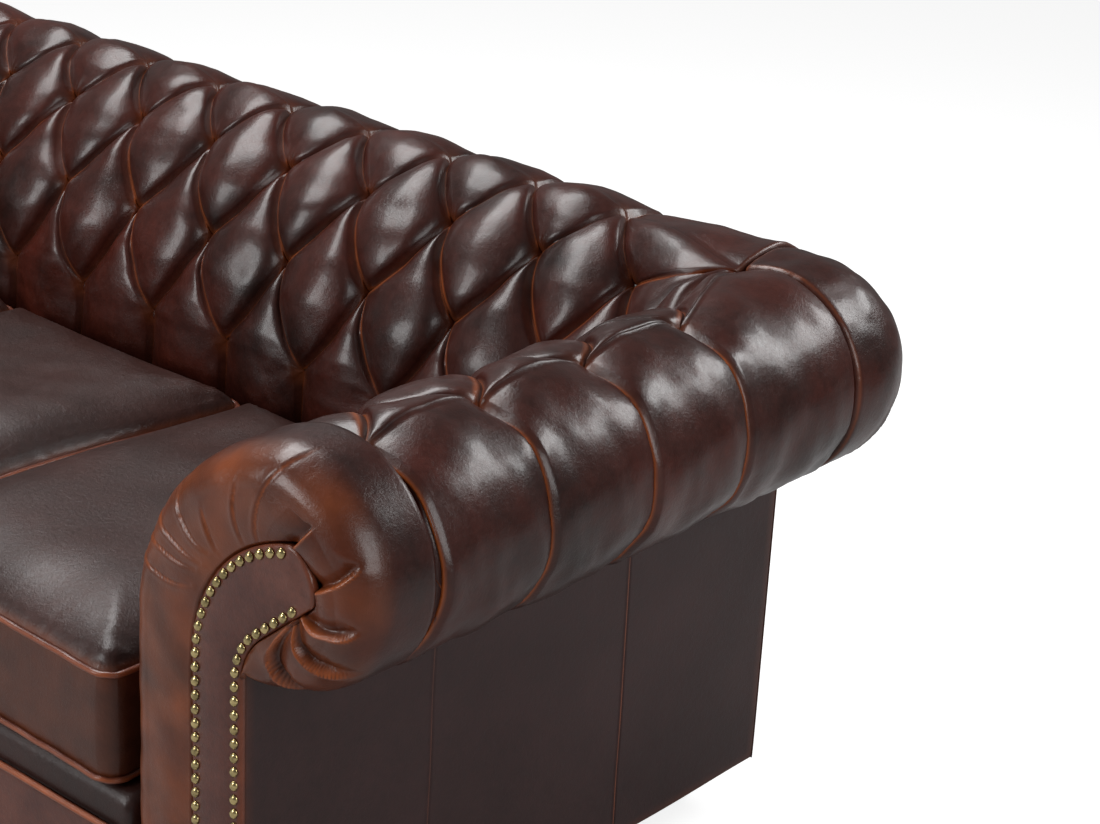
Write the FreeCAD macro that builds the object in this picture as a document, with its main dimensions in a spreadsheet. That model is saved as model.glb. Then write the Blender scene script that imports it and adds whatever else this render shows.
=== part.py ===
import FreeCAD, Part
import math
import os
from FreeCAD import Vector

# Three-seat chesterfield sofa.
# Frame of the part: X to the sofa's left-hand side as seen from the front is negative,
# Y runs from the front to the back, Z up, origin on the floor under the middle.
# All lengths are millimetres.

doc = FreeCAD.newDocument("ChesterfieldSofa")
sheet = doc.addObject("Spreadsheet::Sheet", "Sizes")

DRIVING_SIZES = [
    # Overall form
    ("overall_depth", 962.0, "front of the nail heads to the back of the roll"),
    ("arm_roll_x", 934.0, "middle of the sofa to the centre of an arm roll"),
    ("roll_z", 624.4, "floor to the centre of the rolls"),
    ("roll_radius", 124.6, "outside of the stuffed roll"),
    ("roll_core_radius", 72.0, "outside of the bent plywood inside the roll"),
    ("panel_bottom", 61.0, "floor to the lower edge of the leather"),
    ("arm_panel_inset", 38.0, "roll centre inwards to the outside arm panel"),
    ("back_panel_outset", 45.0, "roll centre rearwards to the outside back panel"),
    ("panel_thickness", 3.0, "outside panels"),
    ("pad_plane_inset", 95.0, "roll centre inwards to the plane behind the padding"),
    ("corner_inset", 52.0, "roll centre inwards to the corner button"),
    ("corner_rise", 103.0, "roll centre up to the corner button"),
    ("seam_gap", 0.4, "clearance between neighbouring upholstery"),
    # Buttoned section, measured from the roll centre outwards and upwards
    ("crest_out", 13.7, "crest row"),
    ("crest_up", 97.9, "crest row"),
    ("second_out", -55.8, "second row"),
    ("second_up", 51.8, "second row"),
    ("third_out", -129.4, "third row"),
    ("third_up", -40.9, "third row"),
    ("fourth_out", -170.5, "fourth row"),
    ("fourth_up", -160.2, "fourth row"),
    ("seat_valley_out", -188.0, "pleats at seat level"),
    ("puff_height", 28.0, "how far each tuft stands above its buttons"),
    ("pleat_lift", 9.0, "how far a pleat rises between two buttons"),
    ("pleat_depth", 5.0, "depth of the pleats over the roll"),
    ("back_columns", 10.0, "crest buttons between the two corner buttons"),
    ("arm_columns", 4.0, "crest buttons on an arm before its corner button"),
    ("arm_corner_share", 1.22, "last spacing before the corner, in arm spacings"),
    ("arm_first_button", 107.4, "arm front to its first button"),
    ("arm_front_fullness", 22.0, "extra stuffing at the front of the arm"),
    ("button_radius", 11.0, "leather-covered buttons"),
    ("button_height", 7.0, "leather-covered buttons"),
    ("button_sink", 3.0, "how deep a button is pressed into its pleats"),
    # Arm front, facing and nails
    ("arm_front_inset", 213.0, "roll centre inwards to the arm's inner face at the front"),
    ("arm_front_thickness", 36.0, "padding in front of the arm post"),
    ("arm_front_rounding", 30.0, "rounding of the arm's front edge"),
    ("facing_inner", 108.0, "roll centre inwards to the facing's inner edge"),
    ("facing_outer", 38.0, "roll centre inwards to the facing's outer edge"),
    ("facing_spring", 125.0, "roll centre down to where the facing starts to curve"),
    ("facing_outer_curve", 170.0, "radius of the facing's long edge"),
    ("facing_inner_curve", 70.0, "radius of the facing's short edge"),
    ("facing_slope", 40.0, "degrees, rise of the facing's head"),
    ("facing_head_length", 87.5, "straight lower edge of the facing's head"),
    ("facing_head_turn", 75.7, "degrees of the long edge's curve"),
    ("facing_thickness", 8.0, "facing board with its leather"),
    ("facing_proud", 2.0, "facing in front of the padding"),
    ("nail_pitch", 15.7, "spacing of the nails"),
    ("nail_radius", 5.3, "nail heads"),
    ("nail_height", 3.0, "nail heads"),
    ("nail_margin", 6.8, "facing edge to the nail line"),
    # Timber frame
    ("board_thickness", 28.0, "rails and posts"),
    ("rail_height", 170.0, "seat rails"),
    ("tack_rail_height", 40.0, "tacking rails"),
    ("strut_height", 60.0, "struts under the seat"),
    ("upright_place", 243.0, "middle of the sofa to a middle upright"),
    ("block_leg", 110.0, "corner blocks"),
    ("former_thickness", 5.0, "bent plywood"),
    ("joint_gap", 0.3, "clearance between timber parts"),
    # Suspension and deck
    ("strap_width", 50.0, "webbing"),
    ("strap_thickness", 2.0, "webbing"),
    ("strap_count", 9.0, "front-to-back straps"),
    ("cross_strap_count", 4.0, "side-to-side straps"),
    ("deck_thickness", 50.0, "seat deck pad"),
    ("border_setback", 4.0, "face of the arm back to the front border"),
    ("lip_rounding", 20.0, "deck lip"),
    ("border_piping_radius", 4.0, "piping on the front border"),
    # Loose cushions
    ("cushion_side_gap", 21.0, "outer cushion to the front of the arm"),
    ("cushion_back_gap", 6.0, "rear of a cushion to the tufts"),
    ("cushion_gap", 1.0, "between neighbouring cushions"),
    ("cushion_setback", 4.5, "face of the arm back to the front seam"),
    ("cushion_height", 124.0, "bottom seam to top seam"),
    ("cushion_crown", 46.0, "rise of the cushion's top"),
    ("cushion_belly", 6.0, "bottom seam above the deck"),
    ("cushion_bulge", 2.5, "boxing beyond the seams"),
    ("cushion_draw", 5.0, "sides drawn in between the corners"),
    ("cushion_corner", 22.0, "corner radius"),
    ("piping_radius", 3.6, "cushion piping"),
    # Feet
    ("foot_side_inset", 82.0, "outside arm panel to a foot's axis"),
    ("foot_end_inset", 27.0, "front or rear rail to a foot's axis"),
    ("foot_radius", 37.0, "widest part of a turned foot"),
    ("glide_height", 4.0, "glides"),
    ("glide_radius", 18.0, "glides"),
    ("bolt_radius", 4.0, "hanger bolts"),
    ("bolt_length", 70.0, "hanger bolts"),
    ("bolt_clearance", 0.3, "around the hanger bolts"),
    ("cover_thickness", 1.5, "dust cover"),
]

for row, (alias, value, meaning) in enumerate(DRIVING_SIZES, start=1):
    sheet.set(f"A{row}", meaning)
    sheet.set(f"B{row}", str(value))
    sheet.setAlias(f"B{row}", alias)
doc.recompute()


def size(expression):
    """Value of an expression in the sheet's own names."""
    return float(sheet.evalExpression(expression))


def in_sheet(expression):
    """The same expression written for an object outside the sheet."""
    for alias, _, _ in sorted(DRIVING_SIZES, key=lambda entry: -len(entry[0])):
        expression = expression.replace(alias, f"<{DRIVING_SIZES_INDEX[alias]}>")
    for alias, index in DRIVING_SIZES_INDEX.items():
        expression = expression.replace(f"<{index}>", f"Sizes.{alias}")
    return expression


DRIVING_SIZES_INDEX = {entry[0]: index for index, entry in enumerate(DRIVING_SIZES)}

# Places that many pieces share, as expressions in the sheet's names
FRONT_FACE = "(nail_height + facing_proud - overall_depth / 2)"
POST_FRONT = f"({FRONT_FACE} + arm_front_thickness + joint_gap)"
BACK_ROLL_Y = "(overall_depth / 2 - roll_radius)"
ARM_PANEL_X = "(arm_roll_x - arm_panel_inset)"
BACK_PANEL_Y = f"({BACK_ROLL_Y} + back_panel_outset)"
ARM_PAD_X = "(arm_roll_x - pad_plane_inset)"
BACK_PAD_Y = f"({BACK_ROLL_Y} - pad_plane_inset)"
FRAME_BOTTOM = "(panel_bottom + cover_thickness)"
RAIL_TOP = f"({FRAME_BOTTOM} + rail_height)"
STRAP_TOP = f"({RAIL_TOP} + 3 * strap_thickness + 4 * joint_gap)"
DECK_TOP = f"({STRAP_TOP} + deck_thickness)"
CUSHION_BOTTOM_SEAM = f"({DECK_TOP} + cushion_belly)"
LEATHER_SKIN_X = f"({ARM_PANEL_X} - panel_thickness)"
LEATHER_SKIN_Y = f"({BACK_PANEL_Y} - panel_thickness)"
POST_LEG_X = f"({ARM_PAD_X} + 2)"
POST_LEG_Y = f"({BACK_PAD_Y} + 2)"
ARM_PANEL_TOP = "(roll_z - sqrt(roll_radius ^ 2 - arm_panel_inset ^ 2) - seam_gap)"
BACK_PANEL_TOP = "(roll_z - sqrt(roll_radius ^ 2 - back_panel_outset ^ 2) - seam_gap)"
INNER_FRONT_X = "(arm_roll_x - arm_front_inset)"
BACK_PITCH = "(2 * (arm_roll_x - corner_inset) / (back_columns + 2))"
PIPING_REACH = "(2 * piping_radius + joint_gap)"
CUSHION_PITCH = f"(2 * ({INNER_FRONT_X} - cushion_side_gap) / 3 + cushion_gap / 3)"
CUSHION_WIDTH = f"({CUSHION_PITCH} - cushion_gap - 2 * {PIPING_REACH})"
CUSHION_FRONT = f"({FRONT_FACE} + cushion_setback)"
CUSHION_REAR = f"({BACK_ROLL_Y} + seat_valley_out - puff_height / 2 - cushion_back_gap - {PIPING_REACH})"
TACK_LOW = f"({DECK_TOP} - tack_rail_height)"
OUTER_RAIL = "(roll_z - roll_radius - tack_rail_height + 5)"
BORDER_TOP = f"({STRAP_TOP} - seam_gap)"
LIP_FACE = f"({FRONT_FACE} + border_setback + 2)"

subparts = []


def keep(obj, label):
    """Names a finished sub-part."""
    obj.Label = label
    subparts.append(obj)
    return obj


# Sketch and body helpers

def origin_plane(body, role):
    return [feature for feature in body.Origin.OriginFeatures if feature.Role == role][0]


def sketch_on(body, role, offset, outlines):
    """Sketch on an origin plane, moved along the plane's normal, holding closed outlines."""
    sketch = body.newObject("Sketcher::SketchObject", "Outline")
    sketch.AttachmentSupport = [(origin_plane(body, role), "")]
    sketch.MapMode = "FlatFace"
    sketch.setExpression("AttachmentOffset.Base.z", in_sheet(offset))
    for outline in outlines:
        for curve in outline:
            sketch.addGeometry(curve)
    return sketch


def pad_on(body, role, offset, outlines, depth):
    pad = body.newObject("PartDesign::Pad", "Pad")
    pad.Profile = sketch_on(body, role, offset, outlines)
    pad.setExpression("Length", in_sheet(depth))
    return pad


def padded_body(label, role, offset, outlines, depth):
    """Body made of one padded outline. XZ outlines grow towards the front, YZ ones towards +X."""
    body = doc.addObject("PartDesign::Body", "Body")
    pad_on(body, role, offset, outlines, depth)
    return keep(body, label)


def box(label, corner, extent):
    """Plain timber or panel: low corner and extents as expressions."""
    piece = doc.addObject("Part::Box", "Board")
    for axis, expression in zip("xyz", corner):
        piece.setExpression(f"Placement.Base.{axis}", in_sheet(expression))
    for name, expression in zip(("Length", "Width", "Height"), extent):
        piece.setExpression(name, in_sheet(expression))
    return keep(piece, label)


def feature(label, shape):
    piece = doc.addObject("Part::Feature", "Form")
    piece.Shape = shape
    return keep(piece, label)


def polygon(points):
    """Closed outline of straight lines through (x, y) points."""
    corners = [Vector(x, y, 0) for x, y in points]
    return [Part.LineSegment(a, b) for a, b in zip(corners, corners[1:] + corners[:1])]


def rectangle(x_low, y_low, x_high, y_high):
    return polygon([(x_low, y_low), (x_high, y_low), (x_high, y_high), (x_low, y_high)])


def arc(centre, radius, start, end):
    """Arc round centre through the angles in degrees, anticlockwise or clockwise."""
    points = []
    for angle in (start, (start + end) / 2, end):
        turn = math.radians(angle)
        points.append(Vector(centre[0] + radius * math.cos(turn), centre[1] + radius * math.sin(turn), 0))
    return Part.Arc(*points)


def path(points_and_arcs):
    """Outline that joins arcs and (x, y) points in order with straight lines, and closes."""
    curves = []
    first = last = None
    for item in points_and_arcs:
        is_point = isinstance(item, tuple)
        start = Vector(item[0], item[1], 0) if is_point else item.StartPoint
        if last is not None and last.distanceToPoint(start) > 1e-6:
            curves.append(Part.LineSegment(last, start))
        if first is None:
            first = start
        if is_point:
            last = start
        else:
            curves.append(item)
            last = item.EndPoint
    if last.distanceToPoint(first) > 1e-6:
        curves.append(Part.LineSegment(last, first))
    return curves


def mirrored(shape):
    return shape.mirror(Vector(0, 0, 0), Vector(1, 0, 0))


# Timber frame

def build_seat_frame():
    box("front_seat_rail",
        (f"-{POST_LEG_X} + joint_gap", POST_FRONT, FRAME_BOTTOM),
        (f"2 * ({POST_LEG_X} - joint_gap)", "board_thickness", "rail_height"))
    box("rear_seat_rail",
        (f"-{POST_LEG_X} + joint_gap", f"{LEATHER_SKIN_Y} - board_thickness", FRAME_BOTTOM),
        (f"2 * ({POST_LEG_X} - joint_gap)", "board_thickness", "rail_height"))
    for side, sign in (("left", -1), ("right", 1)):
        low_x = f"{LEATHER_SKIN_X} - board_thickness" if sign > 0 else f"-{LEATHER_SKIN_X}"
        rail_front = f"{POST_FRONT} + board_thickness + joint_gap"
        box(f"side_rail_{side}", (low_x, rail_front, FRAME_BOTTOM),
            ("board_thickness", f"{POST_LEG_Y} - joint_gap - ({rail_front})", "rail_height"))
        strut_x = f"{sign} * upright_place - board_thickness / 2"
        box(f"seat_strut_{side}", (strut_x, f"{rail_front}", FRAME_BOTTOM),
            ("board_thickness",
             f"{LEATHER_SKIN_Y} - board_thickness - joint_gap - ({rail_front})", "strut_height"))


def build_corner_blocks():
    """Triangular blocks in the corners of the seat frame, bored for the hanger bolts."""
    leg = size("block_leg")
    gap = size("joint_gap")
    low = size(FRAME_BOTTOM)
    hole = size("bolt_radius + bolt_clearance")
    blocks = []
    for x, y, turn_x, turn_y in corner_places(gap):
        corners = [(x, y), (x - turn_x * leg, y), (x, y - turn_y * leg)]
        face = Part.Face(Part.makePolygon([Vector(px, py, low) for px, py in corners + corners[:1]]))
        block = face.extrude(Vector(0, 0, size("rail_height") - size("strut_height")))
        foot_x, foot_y = foot_axis(turn_x, turn_y)
        bore = Part.makeCylinder(hole, size("rail_height"), Vector(foot_x, foot_y, low - 1))
        blocks.append(block.cut(bore))
    feature("corner_blocks", Part.makeCompound(blocks))


def corner_places(gap):
    """Inner corners of the seat frame, with the signs that point to them."""
    side = size(f"{LEATHER_SKIN_X} - board_thickness") - gap
    post = size(POST_LEG_X) - gap
    front = size(f"{POST_FRONT} + board_thickness") + gap
    rear = size(f"{LEATHER_SKIN_Y} - board_thickness") - gap
    return [(-side, front, -1, -1), (side, front, 1, -1), (-post, rear, -1, 1), (post, rear, 1, 1)]


def foot_axis(side, end):
    inset = size("foot_end_inset")
    x = side * (size(ARM_PANEL_X) - size("foot_side_inset"))
    if end < 0:
        return x, size(f"{POST_FRONT} + board_thickness") + inset
    return x, size(f"{LEATHER_SKIN_Y} - board_thickness") - inset


def scroll_post_outline(outer, leg_bottom, leg_inner):
    """Post whose head is round and whose leg is straight, in roll-centre coordinates.

    outer is the leg's outer edge, leg_inner its inner edge and leg_bottom its foot.
    """
    head = size("roll_core_radius - former_thickness - joint_gap")
    shoulder = size("corner_inset")
    start = -math.degrees(math.acos(outer / head))
    end = math.degrees(math.acos(-shoulder / head))
    shoulder_rise = math.sqrt(head ** 2 - shoulder ** 2)
    hip = leg_hip(leg_inner, shoulder, shoulder_rise)
    return [(leg_inner, leg_bottom), (outer, leg_bottom), arc((0, 0), head, start, end), hip]


def leg_hip(leg_inner, shoulder, shoulder_rise):
    """Where the slope below the roll meets the leg's inner edge."""
    return (leg_inner, shoulder_rise - 1.75 * (-leg_inner - shoulder))


def moved(outline, right, up, flip=1):
    """Outline items placed at a roll centre, mirrored left to right when flip is -1."""
    items = []
    for item in outline:
        if isinstance(item, tuple):
            items.append((right + flip * item[0], up + item[1]))
        else:
            ends = []
            for point in (item.StartPoint, item.value((item.FirstParameter + item.LastParameter) / 2),
                          item.EndPoint):
                ends.append(Vector(right + flip * point.x, up + point.y, 0))
            items.append(Part.Arc(*ends))
    return items


def build_arm_posts():
    """Boards across the arm: scroll heads carry the arm's bent plywood."""
    roll_x = size("arm_roll_x")
    roll_z = size("roll_z")
    outer = -size("arm_panel_inset + panel_thickness")
    inner = size(POST_LEG_X) - roll_x
    full_leg = scroll_post_outline(outer, size(FRAME_BOTTOM) - roll_z, inner)
    upper_leg = scroll_post_outline(outer, size(f"{RAIL_TOP} + joint_gap") - roll_z, inner)
    for side, sign in (("left", -1), ("right", 1)):
        padded_body(f"arm_front_post_{side}", "XZ_Plane", f"-({POST_FRONT} + board_thickness)",
                    [path(moved(full_leg, sign * roll_x, roll_z, sign))], "board_thickness")
        rear_face = f"({POST_LEG_Y} - joint_gap)"
        padded_body(f"arm_rear_post_{side}", "XZ_Plane", f"-{rear_face}",
                    [path(moved(upper_leg, sign * roll_x, roll_z, sign))], "board_thickness")


def build_back_posts():
    """Boards across the back: two corner posts to the floor frame, two uprights on the rear rail."""
    roll_y = size(BACK_ROLL_Y)
    roll_z = size("roll_z")
    outer = size("back_panel_outset - panel_thickness")
    inner = size(POST_LEG_Y) - roll_y
    full_leg = scroll_post_outline(outer, size(FRAME_BOTTOM) - roll_z, inner)
    upright = scroll_post_outline(outer, size(f"{RAIL_TOP} + joint_gap") - roll_z, inner)
    thickness = size("board_thickness")
    for side, sign in (("left", -1), ("right", 1)):
        low_x = POST_LEG_X if sign > 0 else f"-({POST_LEG_X} + board_thickness)"
        padded_body(f"back_post_{side}", "YZ_Plane", low_x,
                    [path(moved(full_leg, roll_y, roll_z))], "board_thickness")
        body = doc.addObject("PartDesign::Body", "Body")
        low_x = f"{sign} * upright_place - board_thickness / 2"
        pad_on(body, "YZ_Plane", low_x, [path(moved(upright, roll_y, roll_z))], "board_thickness")
        doc.recompute()
        notch = body.newObject("PartDesign::Pocket", "TackRailNotches")
        gap = size("joint_gap")
        inner_rail = size(TACK_LOW) - gap
        outer_rail = size(OUTER_RAIL) - gap
        tall = size("tack_rail_height") + 2 * gap
        front = size(POST_LEG_Y)
        rear = size(LEATHER_SKIN_Y)
        cuts = [rectangle(front - 5, inner_rail, front + thickness + gap, inner_rail + tall),
                rectangle(rear - thickness - gap, outer_rail, rear + 5, outer_rail + tall)]
        notch.Profile = sketch_on(body, "YZ_Plane", low_x, cuts)
        notch.Type = "ThroughAll"
        notch.Reversed = True
        doc.recompute()
        body.Tip = notch
        keep(body, f"back_upright_{side}")


def build_tack_rails():
    """Rails that the leather and webbing are fixed to."""
    post_rear = f"({POST_FRONT} + board_thickness + joint_gap)"
    arm_length = f"{POST_LEG_Y} - 2 * joint_gap - board_thickness - {post_rear}"
    for side, sign in (("left", -1), ("right", 1)):
        inner_x = POST_LEG_X if sign > 0 else f"-({POST_LEG_X} + board_thickness - 5)"
        outer_x = f"{LEATHER_SKIN_X} - board_thickness + 5" if sign > 0 else f"-{LEATHER_SKIN_X}"
        box(f"arm_inner_rail_{side}", (inner_x, post_rear, TACK_LOW),
            ("board_thickness - 5", arm_length, "tack_rail_height"))
        box(f"arm_outer_rail_{side}", (outer_x, post_rear, OUTER_RAIL),
            ("board_thickness - 5", arm_length, "tack_rail_height"))
    span = f"2 * ({POST_LEG_X} - joint_gap)"
    box("back_inner_rail", (f"-({POST_LEG_X} - joint_gap)", POST_LEG_Y, TACK_LOW),
        (span, "board_thickness", "tack_rail_height"))
    box("back_outer_rail",
        (f"-({POST_LEG_X} - joint_gap)", f"{LEATHER_SKIN_Y} - board_thickness", OUTER_RAIL),
        (span, "board_thickness", "tack_rail_height"))


def former_outline(outer_edge):
    """Bent plywood round the scroll heads, from the outer tacking edge to the inner shoulder."""
    outside = size("roll_core_radius - joint_gap")
    inside = size("roll_core_radius - former_thickness")
    shoulder = size("corner_inset")
    start_out = -math.degrees(math.acos(outer_edge / outside))
    end_out = math.degrees(math.acos(-shoulder / outside))
    start_in = -math.degrees(math.acos(outer_edge / inside))
    end_in = math.degrees(math.acos(-shoulder / inside))
    middle = (start_out + end_out) / 2
    return [arc((0, 0), outside, start_out, middle), arc((0, 0), outside, middle, end_out),
            arc((0, 0), inside, end_in, middle), arc((0, 0), inside, middle, start_in)]


def build_formers():
    roll_x = size("arm_roll_x")
    roll_y = size(BACK_ROLL_Y)
    roll_z = size("roll_z")
    arm_outline = former_outline(-size("arm_panel_inset + panel_thickness"))
    arm_end = f"({BACK_ROLL_Y} - corner_inset - seam_gap)"
    for side, sign in (("left", -1), ("right", 1)):
        padded_body(f"arm_roll_former_{side}", "XZ_Plane", f"-{arm_end}",
                    [path(moved(arm_outline, sign * roll_x, roll_z, sign))],
                    f"{arm_end} - {POST_FRONT}")
    back_outline = former_outline(size("back_panel_outset - panel_thickness"))
    half = "(arm_roll_x - corner_inset - seam_gap)"
    padded_body("back_roll_former", "YZ_Plane", f"-{half}",
                [path(moved(back_outline, roll_y, roll_z))], f"2 * {half}")


# Suspension and deck

def strap_profile(start, end, ramps, level, thickness):
    """Side view of a strap that starts and ends level and rises where ramps say."""
    lower = [(start, level)] + [(place, level + rise) for place, rise in ramps] + [(end, level)]
    upper = [(x, z + thickness) for x, z in reversed(lower)]
    return lower + upper


def build_straps():
    """Webbing woven across the top of the seat rails, and up the back and the arms."""
    gap = size("joint_gap")
    thick = size("strap_thickness")
    wide = size("strap_width")
    top = size(RAIL_TOP) + gap
    bearing = size("board_thickness") - 4
    front = size(POST_FRONT) + 2
    rear = size(LEATHER_SKIN_Y) - 2
    half = size(LEATHER_SKIN_X) - 2
    count = int(round(size("strap_count")))
    field = size(POST_LEG_X) - wide
    columns = [-field + 2 * field * (i + 0.5) / count for i in range(count)]
    middle = top + thick + gap
    straps = []
    for x in columns:
        ramps = [(front + bearing, 0), (front + 2 * bearing, middle - top),
                 (rear - 2 * bearing, middle - top), (rear - bearing, 0)]
        side = strap_profile(front, rear, ramps, top, thick)
        straps.append(extruded_yz(side, x - wide / 2, wide))
    feature("seat_straps", Part.makeCompound(straps))

    post_rear = front + bearing + wide
    rows = int(round(size("cross_strap_count")))
    depth = size(POST_LEG_Y) - 2 * wide - post_rear
    crosses = []
    for row in range(rows):
        y = post_rear + depth * (row + 0.5) / rows
        ramps = []
        for index, x in enumerate(columns):
            over = (index + row) % 2 == 0
            rise = 2 * (thick + gap) if over else 0
            ramps += [(x - wide / 2 - gap, rise), (x + wide / 2 + gap, rise)]
        side = strap_profile(-half, half, ramps, top, thick)
        crosses.append(extruded_xz(side, y - wide / 2, wide))
    feature("cross_straps", Part.makeCompound(crosses))


def extruded_yz(points, x, width):
    loop = [Vector(x, y, z) for y, z in points]
    return Part.Face(Part.makePolygon(loop + loop[:1])).extrude(Vector(width, 0, 0))


def extruded_xz(points, y, width):
    loop = [Vector(x, y, z) for x, z in points]
    return Part.Face(Part.makePolygon(loop + loop[:1])).extrude(Vector(0, width, 0))


def build_pad_webbing():
    """Vertical straps in the plane behind the padding, from the inner rail to the roll."""
    thick = size(f"{POST_LEG_X} - {ARM_PAD_X}") - size("joint_gap") * 2
    gap = size("joint_gap")
    wide = size("strap_width")
    low = size(DECK_TOP) - size("tack_rail_height") / 2
    hip = leg_hip(size(POST_LEG_X) - size("arm_roll_x"), size("corner_inset"), shoulder_of_core())
    high = size("roll_z") + hip[1] - 3
    tall = high - low
    back = []
    plane_y = size(POST_LEG_Y) - gap - thick
    pitch = size(BACK_PITCH)
    for column in range(-int(size("back_columns") / 2) + 1, int(size("back_columns") / 2)):
        back.append(Part.makeBox(wide, thick, tall, Vector(column * pitch - wide / 2, plane_y, low)))
    feature("back_webbing", Part.makeCompound(back))
    arms = []
    first = size(POST_FRONT) + size("board_thickness") + wide
    room = size(POST_LEG_Y) - size("board_thickness") - wide - first
    columns = int(round(size("arm_columns")))
    for sign in (-1, 1):
        plane_x = size(POST_LEG_X) - gap - thick if sign > 0 else -size(POST_LEG_X) + gap
        for column in range(columns):
            y = first + room * (column + 0.5) / columns
            arms.append(Part.makeBox(thick, wide, tall, Vector(plane_x, y - wide / 2, low)))
    feature("arm_webbing", Part.makeCompound(arms))


def shoulder_of_core():
    core = size("roll_core_radius")
    return math.sqrt(core ** 2 - size("corner_inset") ** 2)


def build_deck():
    """Deck pad under the cushions; its rounded front lip shows between the arms."""
    body = doc.addObject("PartDesign::Body", "Body")
    low = size(STRAP_TOP)
    high = size(DECK_TOP)
    side = size(ARM_PAD_X)
    pad_on(body, "XZ_Plane", f"-{BACK_PAD_Y}", [rectangle(-side, low, side, high)],
           f"{BACK_PAD_Y} - {POST_FRONT}")
    doc.recompute()
    front = size(POST_FRONT)
    face = size(LIP_FACE)
    rounding = size("lip_rounding")
    outline = path([(front, low), (face, low), arc((face + rounding, high - rounding), rounding, 180, 90),
                    (front, high)])
    pad_on(body, "YZ_Plane", f"-({INNER_FRONT_X} - seam_gap)", [outline],
           f"2 * ({INNER_FRONT_X} - seam_gap)")
    keep(body, "seat_deck")


# Upholstery: deep-buttoned pads

class Quilt:
    """Closed skin of quadratic patches. Neighbours share the control point of their edge."""

    def __init__(self, to_space):
        self.to_space = to_space
        self.points = {}
        self.bends = {}
        self.faces = []

    def curve(self, a, b):
        start = self.to_space(self.points[a])
        end = self.to_space(self.points[b])
        bend = self.bends.get(frozenset((a, b)))
        if bend is None:
            return Part.LineSegment(start, end).toShape()
        edge = Part.BezierCurve()
        edge.setPoles([start, self.to_space(bend), end])
        return edge.toShape()

    def bend_of(self, a, b):
        bend = self.bends.get(frozenset((a, b)))
        if bend is None:
            bend = (self.points[a] + self.points[b]) * 0.5
        return bend

    def patch(self, a, b, c, d, crown):
        """Four-sided patch a, b, c, d whose middle passes through crown."""
        corners = [self.points[name] for name in (a, b, c, d)]
        edges = [self.bend_of(a, b), self.bend_of(b, c), self.bend_of(c, d), self.bend_of(d, a)]
        corner_sum = corners[0] + corners[1] + corners[2] + corners[3]
        edge_sum = edges[0] + edges[1] + edges[2] + edges[3]
        middle = (crown - corner_sum * (1 / 16) - edge_sum * (1 / 8)) * 4
        grid = [[corners[0], edges[0], corners[1]],
                [edges[3], middle, edges[1]],
                [corners[3], edges[2], corners[2]]]
        surface = Part.BezierSurface()
        surface.increase(2, 2)
        for i in range(3):
            for j in range(3):
                surface.setPole(i + 1, j + 1, self.to_space(grid[i][j]))
        self.faces.append(surface.toShape())

    def flat(self, names, extra=()):
        """Flat face bounded by the edges between the named points, then by extra edges."""
        edges = [self.curve(a, b) for a, b in zip(names, names[1:])]
        wire = Part.Wire(Part.__sortEdges__(edges + list(extra)))
        self.faces.append(Part.Face(wire))

    def solid(self):
        shell = Part.makeShell(self.faces)
        shell.sewShape()
        solid = Part.makeSolid(shell)
        if solid.Volume < 0:
            solid.reverse()
        return solid


def polar(radius, angle):
    turn = math.radians(angle)
    return radius * math.cos(turn), radius * math.sin(turn)


def buttoned_rows():
    """Rows of buttons as (outwards, upwards) of the roll centre, crest row first."""
    return [(size(f"{row}_out"), size(f"{row}_up")) for row in ("crest", "second", "third", "fourth")]


def row_normals(rows):
    """Unit directions that point out of the padding at each row."""
    normals = []
    for index in range(len(rows)):
        before = rows[max(index - 1, 0)]
        after = rows[min(index + 1, len(rows) - 1)]
        run = (after[0] - before[0], after[1] - before[1])
        length = math.hypot(*run)
        normals.append((run[1] / length, -run[0] / length))
    normals[0] = (0.0, 1.0)
    return normals


class Run:
    """One buttoned run along a roll, in coordinates (along, outwards, upwards).

    crest and middle hold the places along the run of the crest-row and second-row buttons.
    A mitred end lies in the vertical plane where outwards equals along minus the end's centre.
    """

    def __init__(self, crest, ends, panel_out, fullness=None):
        self.crest = crest
        self.ends = ends
        self.panel_out = panel_out
        self.fullness = fullness or (lambda along: 0.0)
        self.rows = buttoned_rows()
        self.normals = row_normals(self.rows)
        self.last = len(crest) - 1
        self.bottom = size(f"{DECK_TOP} + seam_gap - roll_z")
        self.radius = size("roll_radius")
        self.tack = (panel_out, -math.sqrt(self.radius ** 2 - panel_out ** 2))
        tack_angle = math.degrees(math.atan2(self.tack[1], self.tack[0]))
        self.first_ring = 47.0
        self.rings = [self.first_ring - (self.first_ring - tack_angle) * share for share in (0.3, 0.66)]

    def mitre(self, column):
        """Sign and centre of the mitred end that this crest column stands at, or None."""
        if column == 0:
            return self.ends[0]
        if column == self.last:
            return self.ends[1]
        return None

    def on_row(self, row, along, lift=0.0):
        """Point of a row, lifted along the row's normal."""
        out, up = self.rows[row]
        rise = lift + (self.fullness(along) if row else 0.0)
        return Vector(along, out + self.normals[row][0] * rise, up + self.normals[row][1] * rise)

    def at_end(self, point, end):
        """The same section point moved along the run into the end's plane."""
        if end[0] == "square":
            return Vector(end[1], point.y, point.z)
        return Vector(end[1] + end[2] * point.y, point.y, point.z)


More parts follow.
